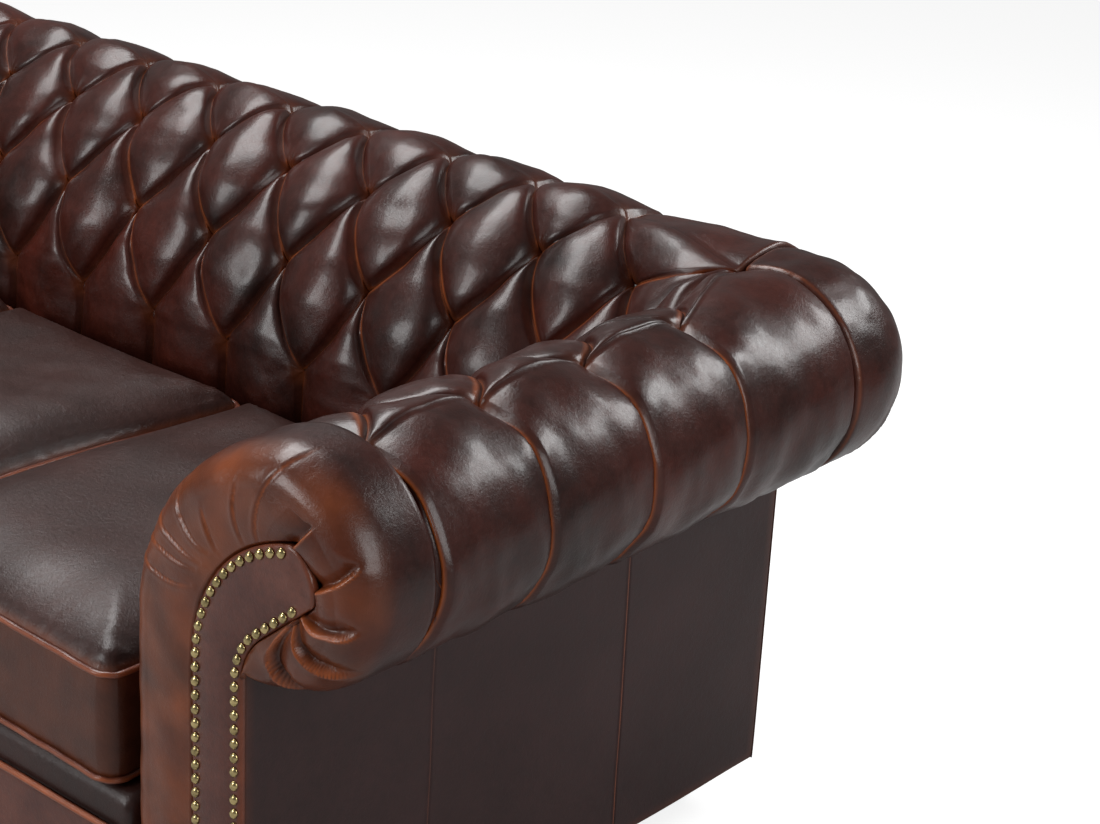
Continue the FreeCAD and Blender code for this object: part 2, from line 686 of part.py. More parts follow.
def build_run(run, to_space, label):
    quilt = Quilt(to_space)
    points = quilt.points
    bends = quilt.bends
    last = run.last
    lift = size("pleat_lift")
    puff = size("puff_height")
    valley = run.radius - size("pleat_depth")
    first_mitred = run.ends[0][0] == "mitre"

    # Buttons of the four rows. The third row stands under the crest row, the fourth under the second.
    middles = [(a + b) / 2 for a, b in zip(run.crest, run.crest[1:])]
    if first_mitred:
        middles[0] = run.crest[1] - (run.crest[2] - run.crest[1]) / 2
    middles[-1] = run.crest[-2] + (run.crest[-2] - run.crest[-3]) / 2
    for k in range(last + 1):
        end = run.mitre(k)
        points["crest", k] = run.on_row(0, run.crest[k])
        points["third", k] = run.on_row(2, run.crest[k])
        if end is not None:
            points["third", k] = run.at_end(points["third", k], end)
            if end[0] == "mitre":
                points["crest", k] = Vector(run.crest[k], -size("corner_inset"), size("corner_rise"))
    for k in range(last):
        points["second", k] = run.on_row(1, middles[k])
        points["fourth", k] = run.on_row(3, middles[k])
        if k == 0 and first_mitred:
            points["fourth", k] = run.at_end(points["fourth", k], run.ends[0])
        if k == last - 1:
            points["fourth", k] = run.at_end(points["fourth", k], run.ends[1])

    # Points on the bottom edge and on the ridges
    for k in range(last):
        full = run.fullness(points["fourth", k].x)
        foot = Vector(points["fourth", k].x, size("seat_valley_out") - full, run.bottom)
        if k == 0 and first_mitred:
            foot = run.at_end(foot, run.ends[0])
        if k == last - 1:
            foot = run.at_end(foot, run.ends[1])
        points["foot", k] = foot
    ridge_columns = range(1 if first_mitred else 0, last)
    for k in ridge_columns:
        along = run.crest[k]
        full = run.fullness(along)
        ridge_out = size("seat_valley_out") - full - puff / 2
        points["ridge foot", k] = Vector(along, ridge_out, run.bottom)
        middle_up = (run.rows[3][1] + run.bottom) / 2
        points["ridge", k] = Vector(along, ridge_out + 2, middle_up)

    # Points over the roll; the corner's own pleats are flat, as the leather there is smooth
    for k in range(last + 1):
        end = run.mitre(k)
        radius = run.radius if end is not None and end[0] == "mitre" else valley
        for ring, angle in enumerate(run.rings):
            points["pleat", k, ring] = Vector(run.crest[k], *polar(radius, angle))
        points["pleat", k, "tack"] = Vector(run.crest[k], *run.tack)
    for k in range(last):
        along = (run.crest[k] + run.crest[k + 1]) / 2
        points["top", k] = Vector(along, *polar(run.radius, run.first_ring))
        for ring, angle in enumerate(run.rings):
            points["roll", k, ring] = Vector(along, *polar(run.radius, angle))
        points["roll", k, "tack"] = Vector(along, *run.tack)

    def arched(a, b, row_a, row_b, rise):
        """Edge control lifted along the mean of two rows' normals."""
        mean = (points[a] + points[b]) * 0.5
        normal_out = (run.normals[row_a][0] + run.normals[row_b][0]) / 2
        normal_up = (run.normals[row_a][1] + run.normals[row_b][1]) / 2
        bends[frozenset((a, b))] = mean + Vector(0, normal_out * 2 * rise, normal_up * 2 * rise)

    def keep_in_end(a, b, end):
        key = frozenset((a, b))
        if key in bends:
            bends[key] = run.at_end(bends[key], end)

    def round_the_roll(a, b, share=0.5):
        """Edge control of an arc round the roll from point a to point b."""
        pa, pb = points[a], points[b]
        angle_a = math.atan2(pa.z, pa.y)
        angle_b = math.atan2(pb.z, pb.y)
        if angle_b > angle_a:
            angle_b -= 2 * math.pi
        radius = max(math.hypot(pa.y, pa.z), math.hypot(pb.y, pb.z)) * (2 - math.cos((angle_a - angle_b) / 2))
        out, up = polar(radius, math.degrees((angle_a + angle_b) / 2))
        bends[frozenset((a, b))] = Vector(pa.x + (pb.x - pa.x) * share, out, up)

    # Pleats between the rows
    for k in range(last):
        for crest_column in (k, k + 1):
            arched(("crest", crest_column), ("second", k), 0, 1, lift)
            arched(("second", k), ("third", crest_column), 1, 2, lift)
            arched(("third", crest_column), ("fourth", k), 2, 3, lift)
    keep_in_end(("third", last), ("fourth", last - 1), run.ends[1])
    if first_mitred:
        keep_in_end(("third", 0), ("fourth", 0), run.ends[0])

    # Arcs over the roll: pleats, ridges and the edges across between them
    sequence = list(range(len(run.rings))) + ["tack"]
    for k in range(last + 1):
        above = ("crest", k)
        for ring in sequence:
            round_the_roll(above, ("pleat", k, ring))
            above = ("pleat", k, ring)
    for k in range(last):
        above = ("top", k)
        for ring in sequence:
            round_the_roll(above, ("roll", k, ring))
            above = ("roll", k, ring)
        for crest_column in (k, k + 1):
            round_the_roll(("crest", crest_column), ("top", k), 0.55)
            for ring, angle in enumerate(run.rings):
                start = points["pleat", crest_column, ring]
                end = points["roll", k, ring]
                bends[frozenset((("pleat", crest_column, ring), ("roll", k, ring)))] = Vector(
                    start.x + (end.x - start.x) * 0.45, *polar(run.radius, angle))

    # Crest tufts, whose outer corner runs on over the roll
    for k in range(last):
        along = (run.crest[k] + run.crest[k + 1]) / 2
        crest_angle = math.degrees(math.atan2(run.rows[0][1], run.rows[0][0]))
        raised = (points["crest", k].z + points["crest", k + 1].z) / 2 - run.rows[0][1]
        quilt.patch(("crest", k), ("second", k), ("crest", k + 1), ("top", k),
                    Vector(along, *polar(run.radius - 1 - raised, crest_angle)))

    # Channels over the roll, in halves on each side of the ridge
    for k in range(last):
        for crest_column in (k, k + 1):
            pleat, ridge = ("crest", crest_column), ("top", k)
            for ring in sequence:
                next_pleat, next_ridge = ("pleat", crest_column, ring), ("roll", k, ring)
                inner = bends[frozenset((pleat, next_pleat))]
                outer = bends[frozenset((ridge, next_ridge))]
                mean_up = (points[pleat].z + points[ridge].z) / 2 + (points[next_pleat].z + points[next_ridge].z) / 2
                mean_out = (points[pleat].y + points[ridge].y) / 2 + (points[next_pleat].y + points[next_ridge].y) / 2
                angle = math.degrees(math.atan2(mean_up, mean_out))
                along = inner.x * 0.45 + outer.x * 0.55
                quilt.patch(pleat, ridge, next_ridge, next_pleat, Vector(along, *polar(run.radius - 1, angle)))
                pleat, ridge = next_pleat, next_ridge

    # Full tufts: those centred on the second row, then those centred on the third
    for k in range(1, last):
        quilt.patch(("crest", k), ("second", k - 1), ("third", k), ("second", k),
                    run.on_row(1, run.crest[k], puff))
    for k in range(last):
        along = (points["third", k].x + points["third", k + 1].x) / 2
        quilt.patch(("second", k), ("third", k), ("fourth", k), ("third", k + 1),
                    run.on_row(2, along, puff))

    # Tufts below the third row, which run down to the seat in two halves
    for k in range(1, last):
        left, right = ("fourth", k - 1), ("fourth", k)
        across(quilt, run, left, ("ridge", k), puff)
        across(quilt, run, right, ("ridge", k), puff)
        quilt.patch(("third", k), left, ("ridge", k), right, run.on_row(3, run.crest[k], puff))
        for valley_name, foot in ((left, ("foot", k - 1)), (right, ("foot", k))):
            half_channel(quilt, valley_name, ("ridge", k), ("ridge foot", k), foot)

    # Ends
    outer_edge = [[], []]
    for index, column in ((0, 0), (1, last)):
        end = run.ends[index]
        nearest = 0 if index == 0 else last - 1
        half = ("half", column)
        points[half] = run.at_end(run.on_row(1, run.crest[column], puff * (0.35 if end[0] == "mitre" else 1)), end)
        arched(("crest", column), half, 0, 1, 4)
        arched(half, ("third", column), 1, 2, 6)
        keep_in_end(half, ("third", column), end)
        keep_in_end(("crest", column), half, end)
        middle = (points["crest", column] + points["third", column] + points["second", nearest] + points[half]) * 0.25
        lift_out, lift_up = run.normals[1]
        crown = middle + Vector(0, lift_out * puff * 0.7, lift_up * puff * 0.7)
        quilt.patch(("crest", column), ("second", nearest), ("third", column), half, crown)
        names = [("crest", column), half, ("third", column)]
        if end[0] == "mitre":
            names += [("fourth", nearest), ("foot", nearest)]
        else:
            lower = ("lower half", column)
            points[lower] = run.at_end(run.on_row(3, run.crest[column], puff), end)
            arched(("third", column), lower, 2, 3, 4)
            arched(lower, ("ridge", column), 3, 3, 1)
            across(quilt, run, ("fourth", nearest), ("ridge", column), puff)
            middle = (points["third", column] + points["ridge", column]
                      + points["fourth", nearest] + points[lower]) * 0.25
            crown = middle + Vector(0, run.normals[3][0] * puff * 0.6, run.normals[3][1] * puff * 0.6)
            quilt.patch(("third", column), ("fourth", nearest), ("ridge", column), lower, crown)
            half_channel(quilt, ("fourth", nearest), ("ridge", column), ("ridge foot", column), ("foot", nearest))
            names += [lower, ("ridge", column), ("ridge foot", column)]
        outer_edge[index] = names

    close_run(quilt, run, outer_edge, first_mitred)
    return feature(label, quilt.solid())


def across(quilt, run, valley, ridge, puff):
    """Edge from a pleat up to the ridge beside it, level at the ridge."""
    start, end = quilt.points[valley], quilt.points[ridge]
    key = frozenset((valley, ridge))
    if key not in quilt.bends:
        quilt.bends[key] = Vector(start.x + (end.x - start.x) * 0.45, end.y, (start.z + end.z) / 2)


def half_channel(quilt, pleat, ridge, ridge_foot, foot):
    points = quilt.points
    key = frozenset((ridge_foot, foot))
    if key not in quilt.bends:
        start, end = points[foot], points[ridge_foot]
        quilt.bends[key] = Vector(start.x + (end.x - start.x) * 0.45, end.y, start.z)
    along = (points[foot].x + points[ridge_foot].x + points[pleat].x + points[ridge].x) / 4
    out = (points[ridge].y + points[ridge_foot].y) / 2
    up = (points[pleat].z + points[ridge].z + 2 * points[foot].z) / 4
    quilt.patch(pleat, ridge, ridge_foot, foot, Vector(along, out + 1, up))


def close_run(quilt, run, outer_edge, first_mitred):
    """Faces behind the padding: round the roll's core, down the frame, under the pad, and the ends."""
    points = quilt.points
    last = run.last
    core = size("roll_core_radius")
    shoulder = -size("corner_inset")
    core_start = -math.degrees(math.acos(run.panel_out / core))
    core_end = math.degrees(math.acos(shoulder / core))
    hip = leg_hip(-size("pad_plane_inset"), -shoulder, shoulder_of_core())
    section = {"core start": polar(core, core_start), "shoulder": polar(core, core_end),
               "hip": hip, "heel": (-size("pad_plane_inset"), run.bottom)}
    for index, column in ((0, 0), (1, last)):
        end = run.ends[index]
        for name, (out, up) in section.items():
            on_roll = name in ("core start", "shoulder")
            along = run.crest[column] if on_roll else run.at_end(Vector(0, out, up), end).x
            points[name, index] = Vector(along, out, up)

    # Core arcs at both ends, in thirds, and the surfaces between them
    arcs = [[], []]
    thirds = [core_start + (core_end - core_start) * share / 3 for share in range(4)]
    for index, column in ((0, 0), (1, last)):
        for a, b in zip(thirds, thirds[1:]):
            ends = [Vector(run.crest[column], *polar(core, angle)) for angle in (a, (a + b) / 2, b)]
            arcs[index].append(Part.Arc(*[quilt.to_space(point) for point in ends]).toShape())
    reach = quilt.to_space(Vector(run.crest[last], 0, 0)) - quilt.to_space(Vector(run.crest[0], 0, 0))
    for edge in arcs[0]:
        quilt.faces.append(edge.extrude(reach))

    for a, b in (("shoulder", "hip"), ("hip", "heel")):
        quilt.flat([(a, 0), (b, 0), (b, 1), (a, 1), (a, 0)])

    # Outer tacking face, with every point of the leather's edge on it
    tack_edge = []
    for k in range(last + 1):
        tack_edge.append(("pleat", k, "tack"))
        if k < last:
            tack_edge.append(("roll", k, "tack"))
    quilt.flat([("core start", 0)] + tack_edge + [("core start", 1), ("core start", 0)])

    # Underside
    under = []
    for k in range(last):
        if ("ridge foot", k) in points:
            under.append(("ridge foot", k))
        under.append(("foot", k))
    quilt.flat([("heel", 0)] + under + [("heel", 1), ("heel", 0)])

    # Ends: a square end is one face; a mitred end is one across the roll and one in the mitre
    for index, column in ((0, 0), (1, last)):
        roll_edge = [("crest", column)]
        roll_edge += [("pleat", column, ring) for ring in range(len(run.rings))]
        roll_edge += [("pleat", column, "tack"), ("core start", index)]
        padding_edge = outer_edge[index] + [("heel", index), ("hip", index), ("shoulder", index)]
        if run.ends[index][0] == "mitre":
            cross = quilt.curve(("shoulder", index), ("crest", column))
            quilt.flat(roll_edge, arcs[index] + [cross])
            quilt.flat(padding_edge + [("crest", column)])
        else:
            edges = [quilt.curve(a, b) for a, b in zip(padding_edge, padding_edge[1:])]
            quilt.flat(roll_edge, arcs[index] + edges)


def arm_run():
    front = size(f"{FRONT_FACE} + arm_first_button")
    count = int(round(size("arm_columns")))
    mitre_y = size(f"{BACK_ROLL_Y} - seam_gap")
    corner = mitre_y - size("corner_inset")
    pitch = (corner - front) / (count - 1 + size("arm_corner_share"))
    crest = [front + k * pitch for k in range(count)] + [corner]
    fade = crest[-1] - front

    def fullness(along):
        return size("arm_front_fullness") * max(0.0, (crest[-1] - along) / fade)

    return Run(crest, [("square", front), ("mitre", mitre_y, 1)], -size("arm_panel_inset"), fullness)


def back_run():
    count = int(round(size("back_columns")))
    pitch = size(BACK_PITCH)
    roll_x = size("arm_roll_x")
    corner = roll_x - size("corner_inset")
    crest = [-corner] + [(k - (count - 1) / 2) * pitch for k in range(count)] + [corner]
    return Run(crest, [("mitre", -roll_x, -1), ("mitre", roll_x, 1)], size("back_panel_outset"))


def to_arm(point):
    """Right arm: along is Y, outwards is +X."""
    return Vector(size("arm_roll_x") + point.y, point.x, size("roll_z") + point.z)


def to_back(point):
    """Back: along is X, outwards is +Y."""
    return Vector(point.x, size(BACK_ROLL_Y) + point.y, size("roll_z") + point.z)


def build_corner_rolls():
    """Smooth rounded stuffing where an arm's roll and the back's roll meet."""
    gap = "seam_gap"
    for side, sign in (("left", -1), ("right", 1)):
        centre = (f"{sign} * arm_roll_x", BACK_ROLL_Y, "roll_z")
        ball = doc.addObject("Part::Sphere", "CornerBall")
        ball.setExpression("Radius", in_sheet("roll_radius"))
        back_stub = doc.addObject("Part::Cylinder", "BackStub")
        arm_stub = doc.addObject("Part::Cylinder", "ArmStub")
        back_stub.Placement.Rotation = FreeCAD.Rotation(Vector(0, 1, 0), -90 * sign)
        arm_stub.Placement.Rotation = FreeCAD.Rotation(Vector(1, 0, 0), 90)
        for stub in (back_stub, arm_stub):
            stub.setExpression("Radius", in_sheet("roll_radius"))
            stub.setExpression("Height", in_sheet("roll_radius"))
        for obj in (ball, back_stub, arm_stub):
            for axis, expression in zip("xyz", centre):
                obj.setExpression(f"Placement.Base.{axis}", in_sheet(expression))
        joined = doc.addObject("Part::MultiFuse", "CornerForm")
        joined.Shapes = [ball, back_stub, arm_stub]
        keep_box = doc.addObject("Part::Box", "CornerRoom")
        low_x = f"arm_roll_x - corner_inset + {gap}"
        if sign < 0:
            low_x = "-(arm_roll_x + 2 * roll_radius)"
        keep_box.setExpression("Placement.Base.x", in_sheet(low_x))
        keep_box.setExpression("Placement.Base.y", in_sheet(f"{BACK_ROLL_Y} - corner_inset + {gap}"))
        keep_box.setExpression("Placement.Base.z", in_sheet("roll_z - 2 * roll_radius"))
        keep_box.setExpression("Length", in_sheet(f"2 * roll_radius + corner_inset - {gap}"))
        keep_box.setExpression("Width", in_sheet("3 * roll_radius"))
        keep_box.setExpression("Height", in_sheet("4 * roll_radius"))
        room = doc.addObject("Part::MultiCommon", "CornerInRoom")
        room.Shapes = [joined, keep_box]
        # The outside panels meet under the roll, and the stuffing ends above them
        panels = doc.addObject("Part::Box", "PanelRoom")
        low_x = "0" if sign > 0 else f"-({ARM_PANEL_X} + seam_gap)"
        panels.setExpression("Placement.Base.x", in_sheet(low_x))
        panels.setExpression("Length", in_sheet(f"{ARM_PANEL_X} + seam_gap"))
        panels.setExpression("Width", in_sheet(f"{BACK_PANEL_Y} + seam_gap"))
        panels.setExpression("Height", in_sheet(f"{BACK_PANEL_TOP} + seam_gap"))
        corner = doc.addObject("Part::Cut", "Corner")
        corner.Base = room
        corner.Tool = panels
        keep(corner, f"corner_roll_{side}")


def prism(centre, axis, radius, height, sides=8):
    """Low flat-topped button on a centre, square to an axis."""
    axis = Vector(axis).normalize()
    helper = Vector(1, 0, 0) if abs(axis.x) < 0.7 else Vector(0, 1, 0)
    across_axis = axis.cross(helper).normalize()
    other = axis.cross(across_axis)
    loop = []
    for corner in range(sides):
        turn = 2 * math.pi * corner / sides
        loop.append(centre + across_axis * (radius * math.cos(turn)) + other * (radius * math.sin(turn)))
    return Part.Face(Part.makePolygon(loop + loop[:1])).extrude(axis * height)


def run_buttons(run, to_space):
    """Buttons at every crossing of the pleats, pressed into the leather."""
    sink = size("button_sink")
    buttons = []
    middles = [(a + b) / 2 for a, b in zip(run.crest, run.crest[1:])]
    first_mitred = run.ends[0][0] == "mitre"
    if first_mitred:
        middles[0] = run.crest[1] - (run.crest[2] - run.crest[1]) / 2
    middles[-1] = run.crest[-2] + (run.crest[-2] - run.crest[-3]) / 2
    inner = [along for k, along in enumerate(run.crest) if run.mitre(k) is None or not first_mitred]
    inner = [along for along in inner if along != run.crest[-1]]
    fourth = middles[1:-1] if first_mitred else middles[:-1]
    for row, places in ((0, inner), (1, middles), (2, inner), (3, fourth)):
        normal = Vector(0, *run.normals[row])
        for along in places:
            base = to_space(run.on_row(row, along, -sink))
            axis = to_space(run.on_row(row, along) + normal * 10) - to_space(run.on_row(row, along))
            buttons.append(prism(base, axis, size("button_radius"), size("button_height")))
    return buttons


def build_buttoned_pads():
    back = back_run()
    arm = arm_run()
    build_run(back, to_back, "tufted_back")
    arm_pad = build_run(arm, to_arm, "tufted_arm_right")
    feature("tufted_arm_left", mirrored(arm_pad.Shape))
    feature("back_buttons", Part.makeCompound(run_buttons(back, to_back)))
    right = run_buttons(arm, to_arm)
    feature("arm_buttons", Part.makeCompound(right + [mirrored(button) for button in right]))


# Arm fronts, facings and nails

def arm_front_outline(low):
    """Front view of a stuffed arm in roll-centre coordinates, leg down to low."""
    roll = size("roll_radius")
    inset = size("arm_front_inset")
    panel = size("arm_panel_inset")
    spring = -math.sqrt(roll ** 2 - panel ** 2)
    # The inner side is one large arc, upright at the spring line and tangent to the roll
    big = (inset ** 2 + spring ** 2 - roll ** 2) / (2 * (inset - roll))
    centre = (big - inset, spring)
    touch = math.degrees(math.atan2(-centre[1], -centre[0]))
    tack = math.degrees(math.atan2(spring, -panel))
    return [(-inset, low), (-inset, spring), arc(centre, big, 180, touch),
            arc((0, 0), roll, touch, (touch + tack) / 2 ), arc((0, 0), roll, (touch + tack) / 2, tack),
            (-panel, low)]


def facing_outline(low, margin=0.0):
    """Facing in roll-centre coordinates: straight leg, curved neck and rising head."""
    inner = -size("facing_inner") + margin
    outer = -size("facing_outer") - margin
    spring = -size("facing_spring")
    long_radius = size("facing_outer_curve") - margin
    short_radius = size("facing_inner_curve") + margin
    long_centre = (-size("facing_inner") + size("facing_outer_curve"), spring)
    short_centre = (-size("facing_outer") + size("facing_inner_curve"), spring)
    slope = size("facing_slope")
    turn = size("facing_head_turn")
    long_edge = arc(long_centre, long_radius, 180, 180 - turn)
    short_edge = arc(short_centre, short_radius, 90 + slope, 180)
    rise = math.radians(slope)
    length = size("facing_head_length") - margin
    neck = short_edge.StartPoint
    head = Vector(neck.x + length * math.cos(rise), neck.y + length * math.sin(rise), 0)
    tip = long_edge.EndPoint
    bulge = (head + tip) * 0.5 + (head - tip).cross(Vector(0, 0, -1)).normalize() * (head - tip).Length * 0.3
    return [(inner, low), long_edge, Part.Arc(tip, bulge, head), short_edge, (outer, low)]


def build_arm_fronts():
    """Stuffed arm fronts: rounded at the front, hollow behind for the post and the rail."""
    roll_x = size("arm_roll_x")
    roll_z = size("roll_z")
    floor_low = size("panel_bottom") - roll_z
    deck_low = size(f"{DECK_TOP} + seam_gap") - roll_z
    core = size("roll_core_radius")
    shoulder = size("corner_inset")
    panel = -size("arm_panel_inset")
    hollow_start = -math.degrees(math.acos(panel / core))
    hollow_end = math.degrees(math.acos(-shoulder / core))
    middle = (hollow_start + hollow_end) / 2
    hip = leg_hip(-size("pad_plane_inset"), shoulder, shoulder_of_core())
    below = floor_low - 5
    aside = -size("arm_front_inset") - 5
    hollow = [(panel, below), arc((0, 0), core, hollow_start, middle), arc((0, 0), core, middle, hollow_end),
              hip, (-size("pad_plane_inset"), deck_low), (aside, deck_low), (aside, below)]
    depth = "(arm_first_button - seam_gap)"
    for side, sign in (("left", -1), ("right", 1)):
        body = doc.addObject("PartDesign::Body", "Body")
        block = pad_on(body, "XZ_Plane", f"-({FRONT_FACE} + {depth})",
                       [path(moved(arm_front_outline(floor_low), sign * roll_x, roll_z, sign))], depth)
        doc.recompute()
        rounding = body.newObject("PartDesign::Fillet", "FrontRounding")
        rounding.Base = (block, front_edges(block.Shape, size(FRONT_FACE), sign))
        rounding.setExpression("Radius", in_sheet("arm_front_rounding"))
        doc.recompute()
        behind = body.newObject("PartDesign::Pocket", "RoomForFrame")
        behind.Profile = sketch_on(body, "XZ_Plane", f"-({FRONT_FACE} + {depth})",
                                   [path(moved(hollow, sign * roll_x, roll_z, sign))])
        behind.setExpression("Length", in_sheet(f"{depth} - arm_front_thickness"))
        behind.Reversed = True
        doc.recompute()
        recess = body.newObject("PartDesign::Pocket", "FacingRecess")
        outline = path(moved(facing_outline(floor_low - 5, -size("seam_gap")), sign * roll_x, roll_z, sign))
        recess.Profile = sketch_on(body, "XZ_Plane", f"-{FRONT_FACE}", [outline])
        recess.setExpression("Length", in_sheet("facing_thickness - facing_proud + joint_gap"))
        doc.recompute()
        body.Tip = recess
        keep(body, f"arm_front_{side}")
        padded_body(f"facing_{side}", "XZ_Plane", f"-({FRONT_FACE} + facing_thickness - facing_proud)",
                    [path(moved(facing_outline(floor_low), sign * roll_x, roll_z, sign))],
                    "facing_thickness")


def front_edges(shape, front_y, sign):
    """Edges round the arm's front face, apart from the one at the floor."""
    floor = size("panel_bottom")
    outer = sign * size(ARM_PANEL_X)
    names = []
    for index, edge in enumerate(shape.Edges, start=1):
        bounds = edge.BoundBox
        in_front = abs(bounds.YMin - front_y) < 1e-3 and abs(bounds.YMax - front_y) < 1e-3
        at_floor = abs(bounds.ZMax - floor) < 1e-3
        at_panel = abs(bounds.XMin - outer) < 1e-3 and abs(bounds.XMax - outer) < 1e-3
        if in_front and not at_floor and not at_panel:
            names.append(f"Edge{index}")
    return names


def along_curves(curves, pitch):
    """Points at a steady pitch along a chain of curves."""
    points = []
    carried = 0.0
    for curve in curves:
        length = curve.length()
        place = carried
        while place <= length:
            points.append(curve.value(curve.parameterAtDistance(place, curve.FirstParameter)))
            place += pitch
        carried = place - length
    return points


def nail(centre, radius, height):
    """Domed nail head as a low six-sided point, facing the front."""
    rim = []
    for corner in range(6):
        turn = math.pi * corner / 3
        rim.append(centre + Vector(radius * math.cos(turn), 0, radius * math.sin(turn)))
    tip = centre + Vector(0, -height, 0)
    faces = [Part.Face(Part.makePolygon(rim + rim[:1]))]
    for a, b in zip(rim, rim[1:] + rim[:1]):
        faces.append(Part.Face(Part.makePolygon([a, b, tip, a])))
    solid = Part.makeSolid(Part.makeShell(faces))
    if solid.Volume < 0:
        solid.reverse()
    return solid


def build_nails():
    """Two nail rows on each facing, along the inside of its long and short edges."""
    roll_x = size("arm_roll_x")
    roll_z = size("roll_z")
    margin = size("nail_margin")
    low = size("panel_bottom") + margin - roll_z
    items = facing_outline(low, margin)
    long_edge = items[1]
    short_edge = items[3]
    leg = Part.LineSegment(Vector(items[0][0], low, 0), long_edge.StartPoint)
    head_end = items[2].EndPoint
    rows = [[leg, long_edge], []]
    lower_leg = Part.LineSegment(Vector(items[4][0], low, 0), short_edge.EndPoint)
    neck = Part.Arc(short_edge.EndPoint,
                    short_edge.value((short_edge.FirstParameter + short_edge.LastParameter) / 2),
                    short_edge.StartPoint)
    rows[1] = [lower_leg, neck, Part.LineSegment(short_edge.StartPoint, head_end)]
    face_y = size(f"{FRONT_FACE} - facing_proud")
    heads = []
    for row in rows:
        for point in along_curves(row, size("nail_pitch")):
            centre = Vector(roll_x + point.x, face_y, roll_z + point.y)
            heads.append(nail(centre, size("nail_radius"), size("nail_height")))
    feature("facing_nails_right", Part.makeCompound(heads))
    feature("facing_nails_left", Part.makeCompound([mirrored(head) for head in heads]))


# Outside panels, border and dust cover

def build_panels():
    panel_front = f"({FRONT_FACE} + arm_front_thickness + joint_gap)"
    for side, sign in (("left", -1), ("right", 1)):
        low_x = LEATHER_SKIN_X if sign > 0 else f"-{ARM_PANEL_X}"
        box(f"outside_arm_{side}", (low_x, panel_front, "panel_bottom"),
            ("panel_thickness", f"{LEATHER_SKIN_Y} - joint_gap - {panel_front}", f"{ARM_PANEL_TOP} - panel_bottom"))
    box("outside_back", (f"-{ARM_PANEL_X}", LEATHER_SKIN_Y, "panel_bottom"),
        (f"2 * {ARM_PANEL_X}", "panel_thickness", f"{BACK_PANEL_TOP} - panel_bottom"))
    half = f"({INNER_FRONT_X} - seam_gap)"
    face = f"({FRONT_FACE} + border_setback)"
    box("front_border", (f"-{half}", face, "panel_bottom"),
        (f"2 * {half}", f"{POST_FRONT} - joint_gap - {face}", f"{BORDER_TOP} - panel_bottom"))
    radius = size("border_piping_radius")
    gap = size("joint_gap")
    centre = Vector(-size(half), size(LIP_FACE) - radius - gap, size(BORDER_TOP) + radius + gap)
    feature("border_piping", prism(centre, Vector(1, 0, 0), radius, 2 * size(half)))


def build_dust_cover():
    """Thin cloth under the frame with holes where the feet pass."""
    body = doc.addObject("PartDesign::Body", "Body")
    half = size(LEATHER_SKIN_X) - 1
    front = size(POST_FRONT)
    rear = size(LEATHER_SKIN_Y) - 1
    outlines = [rectangle(-half, front, half, rear)]
    for side in (-1, 1):
        for end in (-1, 1):
            x, y = foot_axis(side, end)
            outlines.append([Part.Circle(Vector(x, y, 0), Vector(0, 0, 1), size("bolt_radius + bolt_clearance"))])
    pad_on(body, "XY_Plane", "panel_bottom", outlines, "cover_thickness - joint_gap")
    keep(body, "dust_cover")


# Loose cushions

def cushion_loop(x_centre, inset, z):
    """Plan outline of a cushion: round corners, sides drawn in between them by shallow arcs."""
    half_width = size(CUSHION_WIDTH) / 2 - inset
    front = size(CUSHION_FRONT) + inset
    rear = size(CUSHION_REAR) - inset
    y_centre = (front + rear) / 2
    half_depth = (rear - front) / 2
    draw = size("cushion_draw")
    corner = max(size("cushion_corner") - inset * 0.5, 6.0)
    corner = min(corner + inset * 0.9, min(half_width, half_depth) * 0.6)
    edges = []
    reach_x = half_width - corner
    reach_y = half_depth - corner
    side_radius_x = (reach_y ** 2 + draw ** 2) / (2 * draw) - corner
    side_radius_y = (reach_x ** 2 + draw ** 2) / (2 * draw) - corner
    tilt_x = math.degrees(math.asin(reach_y / (side_radius_x + corner)))
    tilt_y = math.degrees(math.asin(reach_x / (side_radius_y + corner)))
    layout = [(1, 1, -tilt_x, 90 + tilt_y), (-1, 1, 90 - tilt_y, 180 + tilt_x),
              (-1, -1, 180 - tilt_x, 270 + tilt_y), (1, -1, 270 - tilt_y, 360 + tilt_x)]
    corner_arcs = []
    for sx, sy, start, end in layout:
        corner_arcs.append(arc((sx * reach_x, sy * reach_y), corner, start, end))
    for index, corner_arc in enumerate(corner_arcs):
        following = corner_arcs[(index + 1) % 4]
        if index % 2 == 0:
            sign = 1 if index == 0 else -1
            bulge = Vector(0, sign * (half_depth - draw), 0)
        else:
            sign = -1 if index == 1 else 1
            bulge = Vector(sign * (half_width - draw), 0, 0)
        edges.append(corner_arc.toShape())
        edges.append(Part.Arc(corner_arc.EndPoint, bulge, following.StartPoint).toShape())
    wire = Part.Wire(edges)
    wire.translate(Vector(x_centre, y_centre, z))
    return wire


